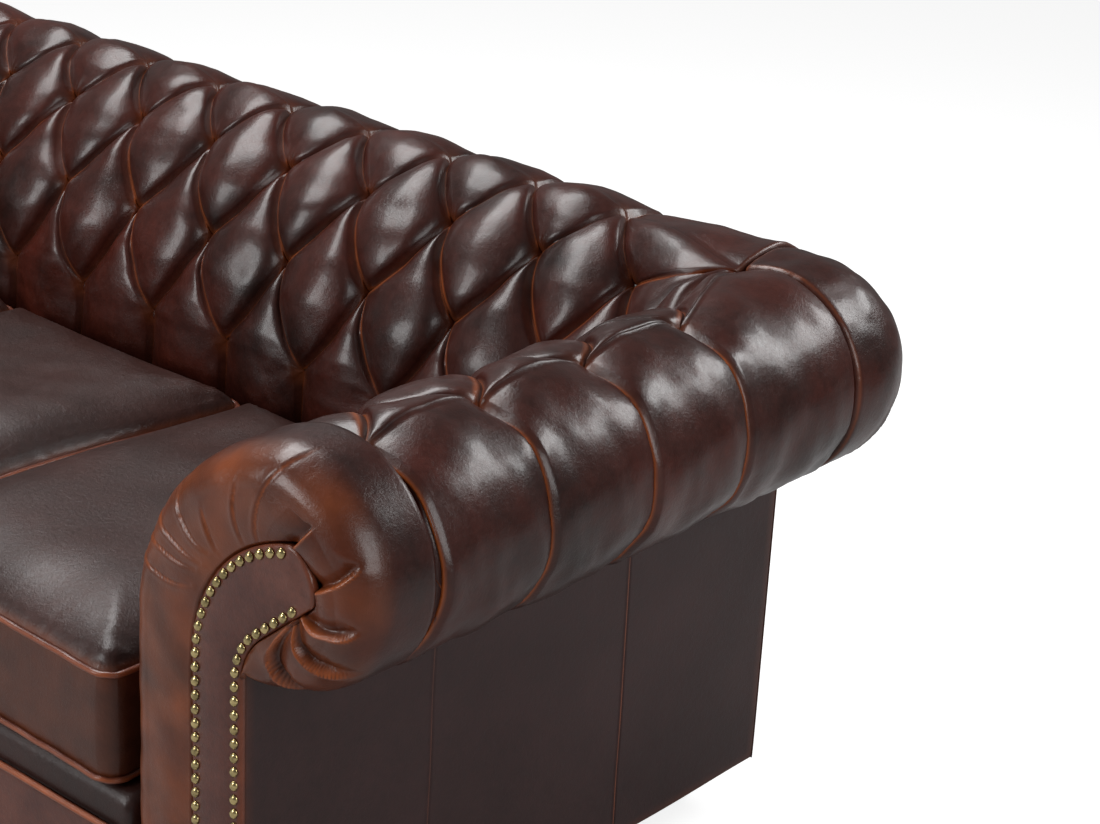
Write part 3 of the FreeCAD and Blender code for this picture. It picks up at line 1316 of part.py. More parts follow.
def build_cushions():
    bottom = size(CUSHION_BOTTOM_SEAM)
    height = size("cushion_height")
    top = bottom + height
    crown = size("cushion_crown")
    belly = size("cushion_belly") - size("joint_gap")
    bulge = size("cushion_bulge")
    # Share of the crown reached at each inset from the seam
    crown_steps = [(0, 0.0), (22, 0.34), (62, 0.68), (118, 0.9), (168, 1.0)]
    for name, place in (("left", -1), ("middle", 0), ("right", 1)):
        x = place * size(CUSHION_PITCH)
        over = [cushion_loop(x, inset, top + crown * share) for inset, share in crown_steps]
        boxing = [cushion_loop(x, -bulge * swell, bottom + height * share)
                  for share, swell in ((0.0, 0.0), (0.3, 0.9), (0.7, 0.9), (1.0, 0.0))]
        under = [cushion_loop(x, 0, bottom), cushion_loop(x, 30, bottom - belly)]
        parts = [Part.makeLoft(boxing, True, False), Part.makeLoft(over, True, False),
                 Part.makeLoft(under, True, True)]
        body = parts[0].fuse(parts[1:])
        feature(f"seat_cushion_{name}", body.Solids[0] if len(body.Solids) == 1 else body)
        piping = [cushion_piping(x, z) for z in (bottom, top)]
        feature(f"cushion_piping_{name}", Part.makeCompound(piping))


def cushion_piping(x, z):
    """Piped seam round a cushion: a ridged rib standing out of the seam."""
    radius = size("piping_radius")
    gap = size("joint_gap")
    rings = [cushion_loop(x, -gap - radius * out, z + radius * up)
             for out, up in ((0, 1), (1.3, 0.75), (2, 0), (1.3, -0.75), (0, -1))]
    outside = Part.makeLoft(rings, True, True)
    hole = Part.makeLoft([rings[0], rings[-1]], True, True)
    return outside.cut(hole)


# Feet

def build_feet():
    """Turned bun feet, each on a glide, hung on a bolt from its corner block."""
    height = size("panel_bottom") - size("joint_gap")
    low = size("glide_height")
    wide = size("foot_radius")
    names = {(-1, -1): "front_left", (1, -1): "front_right", (-1, 1): "rear_left", (1, 1): "rear_right"}
    bore = size("bolt_radius + bolt_clearance")
    bolts = []
    glides = []
    for (side, end), name in names.items():
        x, y = foot_axis(side, end)
        body = doc.addObject("PartDesign::Body", "Body")
        belly = low + (height - low) * 0.42
        neck = height - 9
        outline = path([
            (bore, low + 12), (0, low + 12), (0, low), (wide * 0.55, low),
            Part.Arc(Vector(wide * 0.55, low, 0), Vector(wide, belly, 0), Vector(wide * 0.66, neck, 0)),
            (wide * 0.84, neck), (wide * 0.84, height), (bore, height)])
        turning = body.newObject("PartDesign::Revolution", "Turning")
        turning.Profile = sketch_on(body, "XZ_Plane", "0", [outline])
        turning.ReferenceAxis = (turning.Profile[0], ["V_Axis"])
        turning.Angle = 360
        doc.recompute()
        body.Placement = FreeCAD.Placement(Vector(x, y, 0), FreeCAD.Rotation())
        keep(body, f"foot_{name}")
        bolt_low = low + 12.5
        bolts.append(Part.makeCylinder(size("bolt_radius"), size("bolt_length"), Vector(x, y, bolt_low)))
        glides.append(Part.makeCylinder(size("glide_radius"), low, Vector(x, y, 0)))
    feature("foot_bolts", Part.makeCompound(bolts))
    feature("foot_glides", Part.makeCompound(glides))


build_seat_frame()
build_corner_blocks()
build_arm_posts()
build_back_posts()
build_tack_rails()
build_formers()
build_straps()
build_pad_webbing()
build_deck()
build_buttoned_pads()
build_corner_rolls()
build_arm_fronts()
build_nails()
build_panels()
build_dust_cover()
build_cushions()
build_feet()
doc.recompute()

for obj in doc.Objects:
    if "Invalid" in obj.State or "Error" in obj.State:
        raise RuntimeError(f"{obj.Name} ({obj.Label}) did not recompute: {obj.State}")
for piece in subparts:
    if piece.Shape.isNull() or not piece.Shape.isValid():
        raise RuntimeError(f"{piece.Label} has no valid shape")

os.makedirs("parts", exist_ok=True)
for piece in subparts:
    piece.Shape.exportStep(os.path.join("parts", f"{piece.Label}.step"))
    print(f"{piece.Label}: {len(piece.Shape.Solids)} solid(s), {piece.Shape.Volume / 1e6:.3f} litres")
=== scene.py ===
"""Buttoned three-seat sofa with rolled arms in antique glazed leather."""

import math

import bmesh
import bpy
import numpy as np
from bpy.props import FloatProperty, FloatVectorProperty, PointerProperty
from mathutils import Matrix, Vector


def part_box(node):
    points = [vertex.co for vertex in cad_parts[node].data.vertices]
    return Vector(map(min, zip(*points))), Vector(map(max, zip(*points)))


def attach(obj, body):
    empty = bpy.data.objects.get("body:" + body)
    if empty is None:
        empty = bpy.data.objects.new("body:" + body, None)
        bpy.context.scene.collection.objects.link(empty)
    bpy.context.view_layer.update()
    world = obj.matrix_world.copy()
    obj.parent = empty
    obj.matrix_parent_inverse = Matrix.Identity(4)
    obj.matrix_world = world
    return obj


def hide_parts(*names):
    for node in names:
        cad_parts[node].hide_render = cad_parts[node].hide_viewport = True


bl_info = {
    "name": "Buttoned sofa",
    "version": (1, 0, 0),
    "blender": (4, 5, 0),
    "location": "View3D > Sidebar > Sofa",
    "description": "Builds a deep-buttoned sofa over its construction model",
    "category": "Add Mesh",
}

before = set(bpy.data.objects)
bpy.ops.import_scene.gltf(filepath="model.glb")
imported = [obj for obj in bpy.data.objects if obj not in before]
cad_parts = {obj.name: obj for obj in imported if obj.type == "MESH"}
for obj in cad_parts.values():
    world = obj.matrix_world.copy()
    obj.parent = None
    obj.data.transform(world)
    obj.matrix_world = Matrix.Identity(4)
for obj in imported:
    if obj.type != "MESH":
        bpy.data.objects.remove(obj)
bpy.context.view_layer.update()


# Helpers

def to_linear(hex_colour, alpha=1.0):
    """sRGB hex to the linear colour that shaders read."""
    channels = [int(hex_colour[i:i + 2], 16) / 255 for i in (1, 3, 5)]
    linear = [c / 12.92 if c <= 0.04045 else ((c + 0.055) / 1.055) ** 2.4 for c in channels]
    return (*linear, alpha)


def span(node):
    """Lowest and highest corner of a construction node, in millimetres."""
    low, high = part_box(node)
    return np.array(low) * 1000, np.array(high) * 1000


def smooth_step(t):
    t = np.clip(t, 0.0, 1.0)
    return t * t * (3 - 2 * t)


def mesh_object(name, points, faces, wear=None, merge=0.0001, close=None):
    """Mesh piece from points in millimetres; neighbouring points closer than merge become one."""
    work = bmesh.new()
    layer = None if wear is None else work.verts.layers.float.new("wear")
    verts = [work.verts.new(point) for point in np.asarray(points, float)]
    if layer is not None:
        for vert, value in zip(verts, wear):
            vert[layer] = float(value)
    for face in faces:
        try:
            work.faces.new([verts[i] for i in face])
        except ValueError:
            continue
    bmesh.ops.remove_doubles(work, verts=work.verts, dist=merge)
    if close is not None:
        close(work)
    bmesh.ops.delete(work, geom=[v for v in work.verts if not v.link_faces], context="VERTS")
    bmesh.ops.recalc_face_normals(work, faces=work.faces)
    bmesh.ops.scale(work, vec=(0.001, 0.001, 0.001), verts=work.verts)
    mesh = bpy.data.meshes.new(name)
    work.to_mesh(mesh)
    work.free()
    obj = bpy.data.objects.new(name, mesh)
    bpy.context.scene.collection.objects.link(obj)
    mesh.shade_smooth()
    return obj


def grid_faces(rows, columns, start=0):
    """Quads of a grid whose points are stored row by row."""
    faces = []
    for r in range(rows - 1):
        for c in range(columns - 1):
            a = start + r * columns + c
            faces.append((a, a + 1, a + columns + 1, a + columns))
    return faces


def slab_faces(rows, columns):
    """Faces of a front grid and a back grid, joined round their edges."""
    count = rows * columns
    place = np.arange(count).reshape(rows, columns)
    ring = [*place[0], *place[1:, -1], *place[-1, -2::-1], *place[-2:0:-1, 0]]
    faces = grid_faces(rows, columns) + grid_faces(rows, columns, count)
    return faces + [(a, b, b + count, a + count) for a, b in zip(ring, ring[1:] + ring[:1])]


def ring_faces(rings, sides, start=0, closed=False):
    """Quads round a tube whose points are stored ring by ring; closed joins its last ring to its first."""
    faces = []
    for ring in range(rings if closed else rings - 1):
        a, b = start + ring * sides, start + (ring + 1) % rings * sides
        faces += [(a + i, b + i, b + (i + 1) % sides, a + (i + 1) % sides) for i in range(sides)]
    return faces


def turned(profile, sides, base, axis, side, other):
    """Form turned about an axis, from one pole to the other; profile holds radius and height."""
    turn = 2 * math.pi * np.arange(sides)[:, None] / sides
    rings = [base + axis * height + radius * (side * np.cos(turn) + other * np.sin(turn))
             for radius, height in profile[1:-1]]
    points = np.vstack([base + axis * profile[0][1], *rings, base + axis * profile[-1][1]])
    last = len(points) - 1
    faces = ring_faces(len(rings), sides, 1)
    for i in range(sides):
        j = (i + 1) % sides
        faces += [(0, 1 + j, 1 + i), (last, last - sides + i, last - sides + j)]
    return points, faces


def tube(centres, outward, radius, closed, sides=12):
    """Upright round section along a line: its points, faces, and each point's angle above outward."""
    turn = 2 * math.pi * np.arange(sides) / sides
    section = np.cos(turn)[:, None] * outward[:, None, :] + np.sin(turn)[:, None] * np.array([0.0, 0.0, 1.0])
    points = centres[:, None, :] + radius * section
    return points.reshape(-1, 3), ring_faces(len(centres), sides, closed=closed), np.tile(turn, len(centres))


def joined(parts):
    """One set of points and faces from several."""
    points, faces, count = [], [], 0
    for part_points, part_faces in parts:
        points.append(part_points)
        faces += [tuple(i + count for i in face) for face in part_faces]
        count += len(part_points)
    return np.vstack(points), faces


def arc(centre, radius, first, last, count):
    """Points on an arc in a plane, from one angle in degrees to another."""
    turn = np.radians(np.linspace(first, last, count))
    return np.stack([centre[0] + radius * np.cos(turn), centre[1] + radius * np.sin(turn)], axis=1)


def travelled(line):
    """Length along a line up to each of its points."""
    return np.concatenate([[0], np.cumsum(np.linalg.norm(np.diff(line, axis=0), axis=1))])


def by_length(points, places):
    """The same line with this many evenly spaced points, or with points at these shares of its length."""
    points = np.asarray(points, float)
    lengths = travelled(points)
    shares = np.linspace(0, 1, places) if np.isscalar(places) else places
    return np.stack([np.interp(shares * lengths[-1], lengths, column) for column in points.T], axis=1)


def dress(obj, body, material, *nodes, slot=None, padded=None):
    """Gives a piece its material and body, and hides the construction nodes that it stands for."""
    obj.data.materials.clear()
    obj.data.materials.append(material)
    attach(obj, body)
    if nodes:
        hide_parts(*nodes)
    return obj


def waves(points, wavelength, seed, count=7):
    """Smooth seeded unevenness from -1 to 1 with about this wavelength."""
    rng = np.random.default_rng(seed)
    total = np.zeros(len(points))
    for _ in range(count):
        direction = rng.normal(size=3)
        direction /= np.linalg.norm(direction)
        k = 2 * math.pi / (wavelength * rng.uniform(0.7, 1.5))
        total += np.sin(points @ direction * k + rng.uniform(0, 2 * math.pi))
    return total / math.sqrt(count) / 1.4


# Settings

def length_of(name, about, value):
    return FloatProperty(name=name, description=about, default=value, unit="LENGTH", precision=4)


def colour_of(name, about, hex_colour):
    return FloatVectorProperty(name=name, description=about, size=4, subtype="COLOR",
                               default=to_linear(hex_colour), min=0, max=1)


class SOFA_PG_padding(bpy.types.PropertyGroup):
    pleat_lift: length_of("Pleat lift", "Rise of a pleat between two buttons", 0.019)
    tuft_extra: length_of("Tuft fullness", "Extra height in the middle of a tuft", 0.007)
    lip_height: length_of("Lip height", "Height of the folded lip above its crease", 0.005)
    wrinkle: length_of("Wrinkle height", "Small wrinkles that spread from the buttons", 0.0012)


class SOFA_PG_colours(bpy.types.PropertyGroup):
    leather_dark: colour_of("Leather, dark", "Dark glaze in the hollows", "#1e0b07")
    leather_red: colour_of("Leather, red-brown", "Main colour of the glazed leather", "#451a11")
    # The worn colour marks real rubbed edges, and also serves as a painted highlight on pleat lips and piping.
    leather_worn: colour_of("Leather, worn", "Rubbed edges of pleats and piping", "#b8602f")
    leather_front: colour_of("Leather, arm fronts", "Lighter leather of fronts and boxing", "#6b3a2c")
    leather_panel: colour_of("Leather, outside", "Plain leather of the outside panels", "#3a2322")
    leather_seat: colour_of("Leather, seats", "Satin leather of the cushions", "#3a1f1a")
    brass: colour_of("Brass", "Aged brass nails", "#d2bd86")
    floor: colour_of("Floor", "Studio floor", "#b4b4b4")


class SOFA_PG_stage(bpy.types.PropertyGroup):
    lens: FloatProperty(name="Lens", description="Focal length on a 36 mm sensor", default=83.54,
                        unit="CAMERA")
    azimuth: FloatProperty(name="Azimuth", description="Degrees from the front towards the right arm",
                           default=39.96)
    elevation: FloatProperty(name="Elevation", description="Degrees above the floor", default=22.4)
    roll: FloatProperty(name="Roll", description="Degrees that the camera leans", default=3.12)
    place: FloatVectorProperty(name="Camera", description="Camera position", size=3, subtype="TRANSLATION",
                               default=(2.5009, -1.9520, 1.6868))


# Materials

def node(tree, kind, links=(), stops=(), **settings):
    """Adds a node, sets its properties and sockets by name and its two ramp stops, and links what it reads."""
    made = tree.nodes.new(kind)
    for index, (place, colour) in enumerate(stops):
        made.color_ramp.elements[index].position = place
        made.color_ramp.elements[index].color = colour
    for key, value in settings.items():
        if hasattr(made, key):
            setattr(made, key, value)
        else:
            made.inputs[key.replace("_", " ")].default_value = value
    for socket, source in links:
        tree.links.new(source if hasattr(source, "is_output") else source.outputs[0], made.inputs[socket])
    return made


def grey(value):
    return (value, value, value, 1)


def shade(colour, share):
    return (*(channel * share for channel in colour[:3]), 1)


def new_material(name):
    """Empty material and its node tree."""
    material = bpy.data.materials.new(name)
    material.use_nodes = True
    tree = material.node_tree
    tree.nodes.clear()
    return material, tree


def leather_material(name, dark, middle, roughness, coat, grain=0.35, cloud=0.11, worn_and_lit=None):
    """Aniline-dyed hide with a rubbed glaze: clouded colour, worn edges with painted highlights on pleat lips
    and piping, fine grain under a soft gloss.
    """
    material, tree = new_material(name)
    place = node(tree, "ShaderNodeTexCoord").outputs["Object"]
    # Clouds of thick and thin glaze, about 110 mm across
    clouds = node(tree, "ShaderNodeTexNoise", [("Vector", place)], Scale=1 / cloud, Detail=5.0, Roughness=0.6)
    base = node(tree, "ShaderNodeValToRGB", [("Fac", clouds)], [(0.3, dark), (0.72, middle)])
    # Fine mottling, about 9 mm
    mottle = node(tree, "ShaderNodeTexNoise", [("Vector", place)], Scale=110.0, Detail=6.0, Roughness=0.65)
    mottled = node(tree, "ShaderNodeValToRGB", [("Fac", mottle)], [(0.3, grey(0.78)), (0.7, grey(1.18))])
    colour = node(tree, "ShaderNodeMixRGB", [("Color1", base), ("Color2", mottled)],
                  blend_type="MULTIPLY", Fac=1.0)
    if worn_and_lit is not None:
        # Worn colour where the vertex attribute asks for it: real rubbing, and painted highlights on pleat lips
        # and piping
        wear_and_highlight_at = node(tree, "ShaderNodeAttribute", attribute_name="wear").outputs["Fac"]
        # The rubbed colour and the painted highlights come and go along an edge in patches about 40 mm long
        flecks = node(tree, "ShaderNodeTexNoise", [("Vector", place)], Scale=25.0, Detail=3.0)
        broken = node(tree, "ShaderNodeValToRGB", [("Fac", flecks)], [(0.34, grey(0.6)), (0.62, grey(1.0))])
        amount = node(tree, "ShaderNodeMath", [(0, wear_and_highlight_at), (1, broken)], operation="MULTIPLY", use_clamp=True)
        colour = node(tree, "ShaderNodeMixRGB", [("Fac", amount), ("Color1", colour)], Color2=worn_and_lit)
    shine = node(tree, "ShaderNodeValToRGB", [("Fac", mottle)],
                 [(0.3, grey(roughness * 0.88)), (0.75, grey(roughness * 1.2))])
    # Hair pores are under 1 mm; cells of 2.4 mm are the finest that show here
    pores = node(tree, "ShaderNodeTexVoronoi", [("Vector", place)], feature="F1", Scale=420.0)
    pitted = node(tree, "ShaderNodeBump", [("Height", pores)], Strength=grain * 0.5, Distance=0.0004)
    creases = node(tree, "ShaderNodeTexNoise", [("Vector", place)], Scale=170.0, Detail=5.0,
                   Roughness=0.7, Distortion=0.6)
    bump = node(tree, "ShaderNodeBump", [("Height", creases), ("Normal", pitted)],
                Strength=grain, Distance=0.0012)
    shader = node(tree, "ShaderNodeBsdfPrincipled",
                  [("Base Color", colour), ("Roughness", shine), ("Normal", bump)],
                  Specular_IOR_Level=0.36, Coat_Weight=coat, Coat_Roughness=0.16)
    node(tree, "ShaderNodeOutputMaterial", [("Surface", shader)])
    return material


def brass_material(name, colour):
    """Die-struck brass, lacquered and aged: a warm metal, darker in random patches."""
    material, tree = new_material(name)
    place = node(tree, "ShaderNodeTexCoord").outputs["Object"]
    age = node(tree, "ShaderNodeTexNoise", [("Vector", place)], Scale=90.0, Detail=3.0)
    tone = node(tree, "ShaderNodeValToRGB", [("Fac", age)], [(0.35, shade(colour, 0.55)), (0.6, colour)])
    rough = node(tree, "ShaderNodeValToRGB", [("Fac", age)], [(0.3, grey(0.3)), (0.7, grey(0.18))])
    shader = node(tree, "ShaderNodeBsdfPrincipled", [("Base Color", tone), ("Roughness", rough)], Metallic=1.0)
    node(tree, "ShaderNodeOutputMaterial", [("Surface", shader)])
    return material


def wood_material(name, light, dark, roughness, ring, axis="Z", coat=0.0):
    """Sawn or turned timber: growth rings drawn out along the grain."""
    material, tree = new_material(name)
    place = node(tree, "ShaderNodeTexCoord").outputs["Object"]
    stretch = {"X": (0.06, 1, 1), "Y": (1, 0.06, 1), "Z": (1, 1, 0.06)}[axis]
    along = node(tree, "ShaderNodeMapping", [("Vector", place)], Scale=stretch)
    rings = node(tree, "ShaderNodeTexWave", [("Vector", along)], wave_type="BANDS", bands_direction="DIAGONAL",
                 Scale=1 / ring, Distortion=7.0, Detail=3.0).outputs["Fac"]
    tone = node(tree, "ShaderNodeValToRGB", [("Fac", rings)], [(0.1, dark), (0.8, light)])
    bump = node(tree, "ShaderNodeBump", [("Height", rings)], Strength=0.15, Distance=0.0006)
    shader = node(tree, "ShaderNodeBsdfPrincipled", [("Base Color", tone), ("Normal", bump)],
                  Roughness=roughness, Coat_Weight=coat)
    node(tree, "ShaderNodeOutputMaterial", [("Surface", shader)])
    return material


def cloth_material(name, dark, light, thread):
    """Plain-woven cloth or webbing: crossing bands, one per thread."""
    material, tree = new_material(name)
    place = node(tree, "ShaderNodeTexCoord").outputs["Object"]
    warp, weft = (node(tree, "ShaderNodeTexWave", [("Vector", place)], bands_direction=axis,
                       Scale=1 / thread).outputs["Fac"] for axis in "XY")
    weave = node(tree, "ShaderNodeMath", [(0, warp), (1, weft)], operation="MULTIPLY")
    tone = node(tree, "ShaderNodeValToRGB", [("Fac", weave)], [(0.1, dark), (0.8, light)])
    bump = node(tree, "ShaderNodeBump", [("Height", weave)], Strength=0.4, Distance=0.0006)
    shader = node(tree, "ShaderNodeBsdfPrincipled", [("Base Color", tone), ("Normal", bump)], Roughness=0.95)
    node(tree, "ShaderNodeOutputMaterial", [("Surface", shader)])
    return material


def moulded_material(name, colour, roughness, metallic=0.0):
    """Moulded nylon or zinc-plated steel: one colour with a faint unevenness."""
    material, tree = new_material(name)
    place = node(tree, "ShaderNodeTexCoord").outputs["Object"]
    uneven = node(tree, "ShaderNodeTexNoise", [("Vector", place)], Scale=300.0, Detail=2.0)
    tone = node(tree, "ShaderNodeValToRGB", [("Fac", uneven)], [(0.3, shade(colour, 0.85)), (0.7, colour)])
    shader = node(tree, "ShaderNodeBsdfPrincipled", [("Base Color", tone)],
                  Roughness=roughness, Metallic=metallic)
    node(tree, "ShaderNodeOutputMaterial", [("Surface", shader)])
    return material


MATERIALS = {}


def make_materials(colours):
    dark, red, worn_and_lit = colours.leather_dark, colours.leather_red, colours.leather_worn
    MATERIALS.update(
        tufted=leather_material("glazed_antique_leather", dark, red, 0.33, 0.22, worn_and_lit=worn_and_lit),
        front=leather_material("rubbed_brown_leather", red, colours.leather_front, 0.33, 0.25, worn_and_lit=worn_and_lit),
        panel=leather_material("plain_outside_leather", to_linear("#2c1918"), colours.leather_panel,
                               0.42, 0.1, grain=0.25, cloud=0.2, worn_and_lit=worn_and_lit),
        seat=leather_material("satin_seat_leather", to_linear("#26130f"), colours.leather_seat,
                              0.40, 0.12, grain=0.5, cloud=0.16, worn_and_lit=worn_and_lit),
        button=leather_material("button_leather", dark, red, 0.36, 0.2),
        brass=brass_material("aged_brass", colours.brass),
        beech=wood_material("sawn_beech", to_linear("#b98d5d"), to_linear("#94683c"), 0.7, 0.012, "X"),
        plywood=wood_material("bent_birch_plywood", to_linear("#c9a878"), to_linear("#a9824f"), 0.65, 0.009,
                              "Y"),
        foot=wood_material("turned_stained_beech", to_linear("#3a2115"), to_linear("#1f110b"), 0.35, 0.006,
                           coat=0.4),
        webbing=cloth_material("jute_webbing", to_linear("#6b5434"), to_linear("#a88b5c"), 0.004),
        cloth=cloth_material("black_spunbond_cloth", to_linear("#0d0d0d"), to_linear("#242424"), 0.003),
        steel=moulded_material("zinc_plated_steel", to_linear("#b8bcc0"), 0.35, 1.0),
        nylon=moulded_material("moulded_black_nylon", to_linear("#161616"), 0.5),
    )


def soft_piece(name, shape, finish, *nodes, body="sofa", slot="leather", padded=1.0, **how):
    """Padded leather piece from its points, faces, and wear with painted highlights."""
    piece = mesh_object(name, *shape, **how)
    dress(piece, body, MATERIALS[finish], *nodes, slot=slot, padded=padded)


def dress_pair(right, finish, nodes, slot="leather", padded=None):
    """Dresses a right-hand piece and its left-hand copy; nodes are named without their side."""
    left = mirror_copy(right, right.name.replace("_right", "_left"))
    for piece, side in ((right, "right"), (left, "left")):
        dress(piece, "sofa", MATERIALS[finish], *(f"{name}_{side}" for name in nodes), slot=slot, padded=padded)


# Buttoned leather over a roll

# Radius of the rolls and the place of their centre lines
ROLL = 124.6
ROLL_X, ROLL_Y, ROLL_Z = 934.0, 356.4, 624.4
# Buttons of the four rows, and of the mitre, outwards and upwards from the roll's centre
ROWS = ((13.7, 97.9), (-55.8, 51.8), (-129.4, -40.9), (-170.5, -160.2))
CORNER_BUTTON = (-52.0, 103.0)
# Foot of the lowest pleats, behind the seat
SEAT_VALLEY, BOTTOM = -188.0, -334.3
# Polar angle round the roll's centre, and the direction that padding swells there
SWELL_AT = (-115, 47, 82, 137.1, 197.5, 223.2, 241)
SWELL_TO = (-115, 47, 88, 134, 151.6, 161, 177)
# Steps across a tuft: fine at the creases, where the lip is folded
HALF_STEPS = (0, .004, .009, .014, .019, .0235, .032, .05, .08, .115, .155, .2, .25, .3, .35, .4, .45, .5)
STEPS = np.array(HALF_STEPS + tuple(1 - s for s in HALF_STEPS[-2::-1]))
# Section of a folded lip: beyond the crease, and above it
LIP = ((0.0, -2.5), (1.2, -1.2), (2.2, 1.0), (2.3, 2.8), (1.2, 4.4), (-0.8, 5.4))
# Worn colour line by line round the lip: real rubbing of its rolled nose, and a painted highlight where the
# nose faces the light.
LIP_WEAR_AND_HIGHLIGHT = (0.0, 0.25, 0.85, 0.9, 0.35, 0.05)
# Height of lip that the section is drawn for, and depth of the crease beside it
LIP_SIZE, CREASE_DEPTH = 5.0, 2.5

# Facing board in the arm's front view, from the roll's centre: legs, radii of the bends, and hooked head
LEG_INNER, LEG_OUTER, LEG_SPRING, LEG_FOOT = -108.0, -38.0, -125.0, 61.0 - ROLL_Z
SHORT_RADIUS, LONG_RADIUS = 70.0, 170.0
NECK_TURN, TIP_TURN, HEAD_TURN = 130.0, 104.3, math.radians(40)
HEAD_LENGTH, HEAD_BULGE = 87.5, 0.3
FACING_FRONT, FACING_BACK = -474.8, -470.2
# Inner side of the arm, and the middle that its front is drawn in towards
ARM_INSET = 213.0
FRONT_MIDDLE = np.array((-60.0, -60.0))
# Points round the arm front: over the roll, two parts of the inner side, and the leg
ROLL_COLUMNS, UPPER_COLUMNS, LOWER_COLUMNS, LEG_COLUMNS = 300, 80, 44, 30
# Pairs of places on the arm's outline and on the facing's edge that the leather joins
FRONT_KNOTS = (
    ((-38, -118.7), (-38, -125)), ((0, -124.6), (10, -52)), ((50, -114), (38, -30)), ((105, -66), (54, -15)),
    ((124.6, 0), (58, 0)), ((104, 70), (50, 22)), ((50, 114), (20, 39.7)), ((-20, 122), (-12, 27)),
    ((-88, 88), (-50, 2)), ((-150, 36), (-84, -33)), ((-190, -30), (-101, -70)), ((-213, -118), (-108, -140)),
    ((-213, LEG_FOOT), (-108, LEG_FOOT)),
)

# Turned forms, from pole to pole: radius, and height along the axis
NAIL_PROFILE = ((0.0, 0.4), (4.8, 0.0), (4.8, -0.5), (4.4, -1.4), (3.6, -2.2), (2.5, -2.9), (1.3, -3.3),
                (0.0, -3.4))
BUTTON_PROFILE = ((0.0, 3.4), (3.5, 3.1), (7.0, 2.0), (9.6, 0.2), (10.6, -2.2), (10.2, -4.5), (0.0, -4.6))
# Face that the nails sit on; radius of the welts, and how far they stand out from the seam
NAIL_Y = -478.0
WELT_RADIUS, WELT_OUT = 3.6, 2.6


def polar_angle(points):
    angle = np.degrees(np.arctan2(points[..., 2], points[..., 1]))
    return np.where(angle < -113.5, angle + 360, angle)


def swell(points):
    """Outward direction of the padding at points (along, outwards, upwards)."""
    turn = np.radians(np.interp(polar_angle(points), SWELL_AT, SWELL_TO))
    return np.stack([np.zeros_like(turn), np.cos(turn), np.sin(turn)], axis=-1)


# Lips die out towards the buttons at both ends of a pleat
FADE = smooth_step(STEPS / 0.14) * smooth_step((1 - STEPS) / 0.14)


class Run:
    """One buttoned run along a roll, in coordinates (along, outwards, upwards).

    Each end is a plane, given by its place along at the roll's centre and its slope: a mitre slopes, and
    a square end has none.
    """

    def __init__(self, crest, ends, panel_out, lip_side, fullness, seed):
        self.crest = crest
        self.ends = ends
        self.panel_out = panel_out
        self.lip_side = lip_side
        self.fullness = fullness
        self.random = np.random.default_rng(seed)
        self.seed = seed
        self.last = len(crest) - 1
        # Mitres, by the number of the lower button that lies on them
        self.mitres = {k: end for k, end in ((0, ends[0]), (self.last - 1, ends[1])) if end[1]}
        self.points, self.edges = {}, {}
        self.verts, self.wear, self.faces = [], [], []
        self.count = 0

    def on_row(self, row, along, lift=0.0):
        point = np.array([along, *ROWS[row]], float)
        rise = lift + (self.fullness(along) if row else 0.0)
        return point + swell(point) * rise

    def at_end(self, line, end):
        """Points moved along on to the plane of an end."""
        line = np.array(line, float)
        line[..., 0] = end[0] + end[1] * line[..., 1]
        return line

    def edge(self, a, b, lift=0.0, bow=0.0, end=None):
        """Pleat from point a to point b, lifted in the middle and bowed sideways."""
        if (a, b) in self.edges:
            return self.edges[a, b]
        if (b, a) in self.edges:
            return self.edges[b, a][::-1]
        start, finish = self.points[a], self.points[b]
        t = STEPS[:, None]
        line = start + (finish - start) * t
        arch = (4 * t * (1 - t)) ** 0.72
        direction = (finish - start) / np.linalg.norm(finish - start)
        sideways = np.cross(direction, swell(line))
        curve = line + swell(line) * lift * arch + sideways * bow * 4 * t * (1 - t)
        self.edges[a, b] = curve if end is None else self.at_end(curve, end)
        return self.edges[a, b]

    def add(self, grid, wear):
        rows, columns = grid.shape[:2]
        self.verts.append(grid.reshape(-1, 3))
        self.wear.append(wear.reshape(-1))
        self.faces += grid_faces(rows, columns, self.count)
        self.count += rows * columns


def fold_lip(grid, wear, edge, outward, fade, lip_scale):
    """Rolls the first grid lines at one edge into a lip that lies over the neighbour's edge.

    edge gives the grid index of each line in order from the crease; outward points over the neighbour.
    """
    crease = grid[edge(0)].copy()
    up = swell(crease)
    for line, (beyond, above) in enumerate(LIP):
        index = edge(line)
        folded = crease + outward * beyond * lip_scale + up * above * lip_scale
        grid[index] = grid[index] * (1 - fade[:, None]) + folded * fade[:, None]
        # The rolled nose is painted in the worn colour: partly rubbing, partly a painted highlight.
        wear[index] = np.maximum(wear[index], LIP_WEAR_AND_HIGHLIGHT[line] * (0.15 + 0.85 * fade))


def side_of(curve, towards):
    """Unit direction square to a curve, in the leather, pointing to the side where towards is positive."""
    tangent = np.gradient(curve, axis=0)
    out = np.cross(tangent, swell(curve))
    out /= np.linalg.norm(out, axis=1)[:, None] + 1e-9
    sign = np.sign(np.sum(out * towards, axis=1))
    return out * np.where(sign == 0, 1, sign)[:, None]


def lip_rise(distance):
    """Share of the lip's height at a distance from its crease."""
    return np.exp(-distance / 22) * (1 - np.exp(-distance / 1.5))


def crease_drop(distance):
    """Depth of a crease below the plain surface, with distance from it."""
    return CREASE_DEPTH * np.exp(-(distance / 2.6) ** 2)


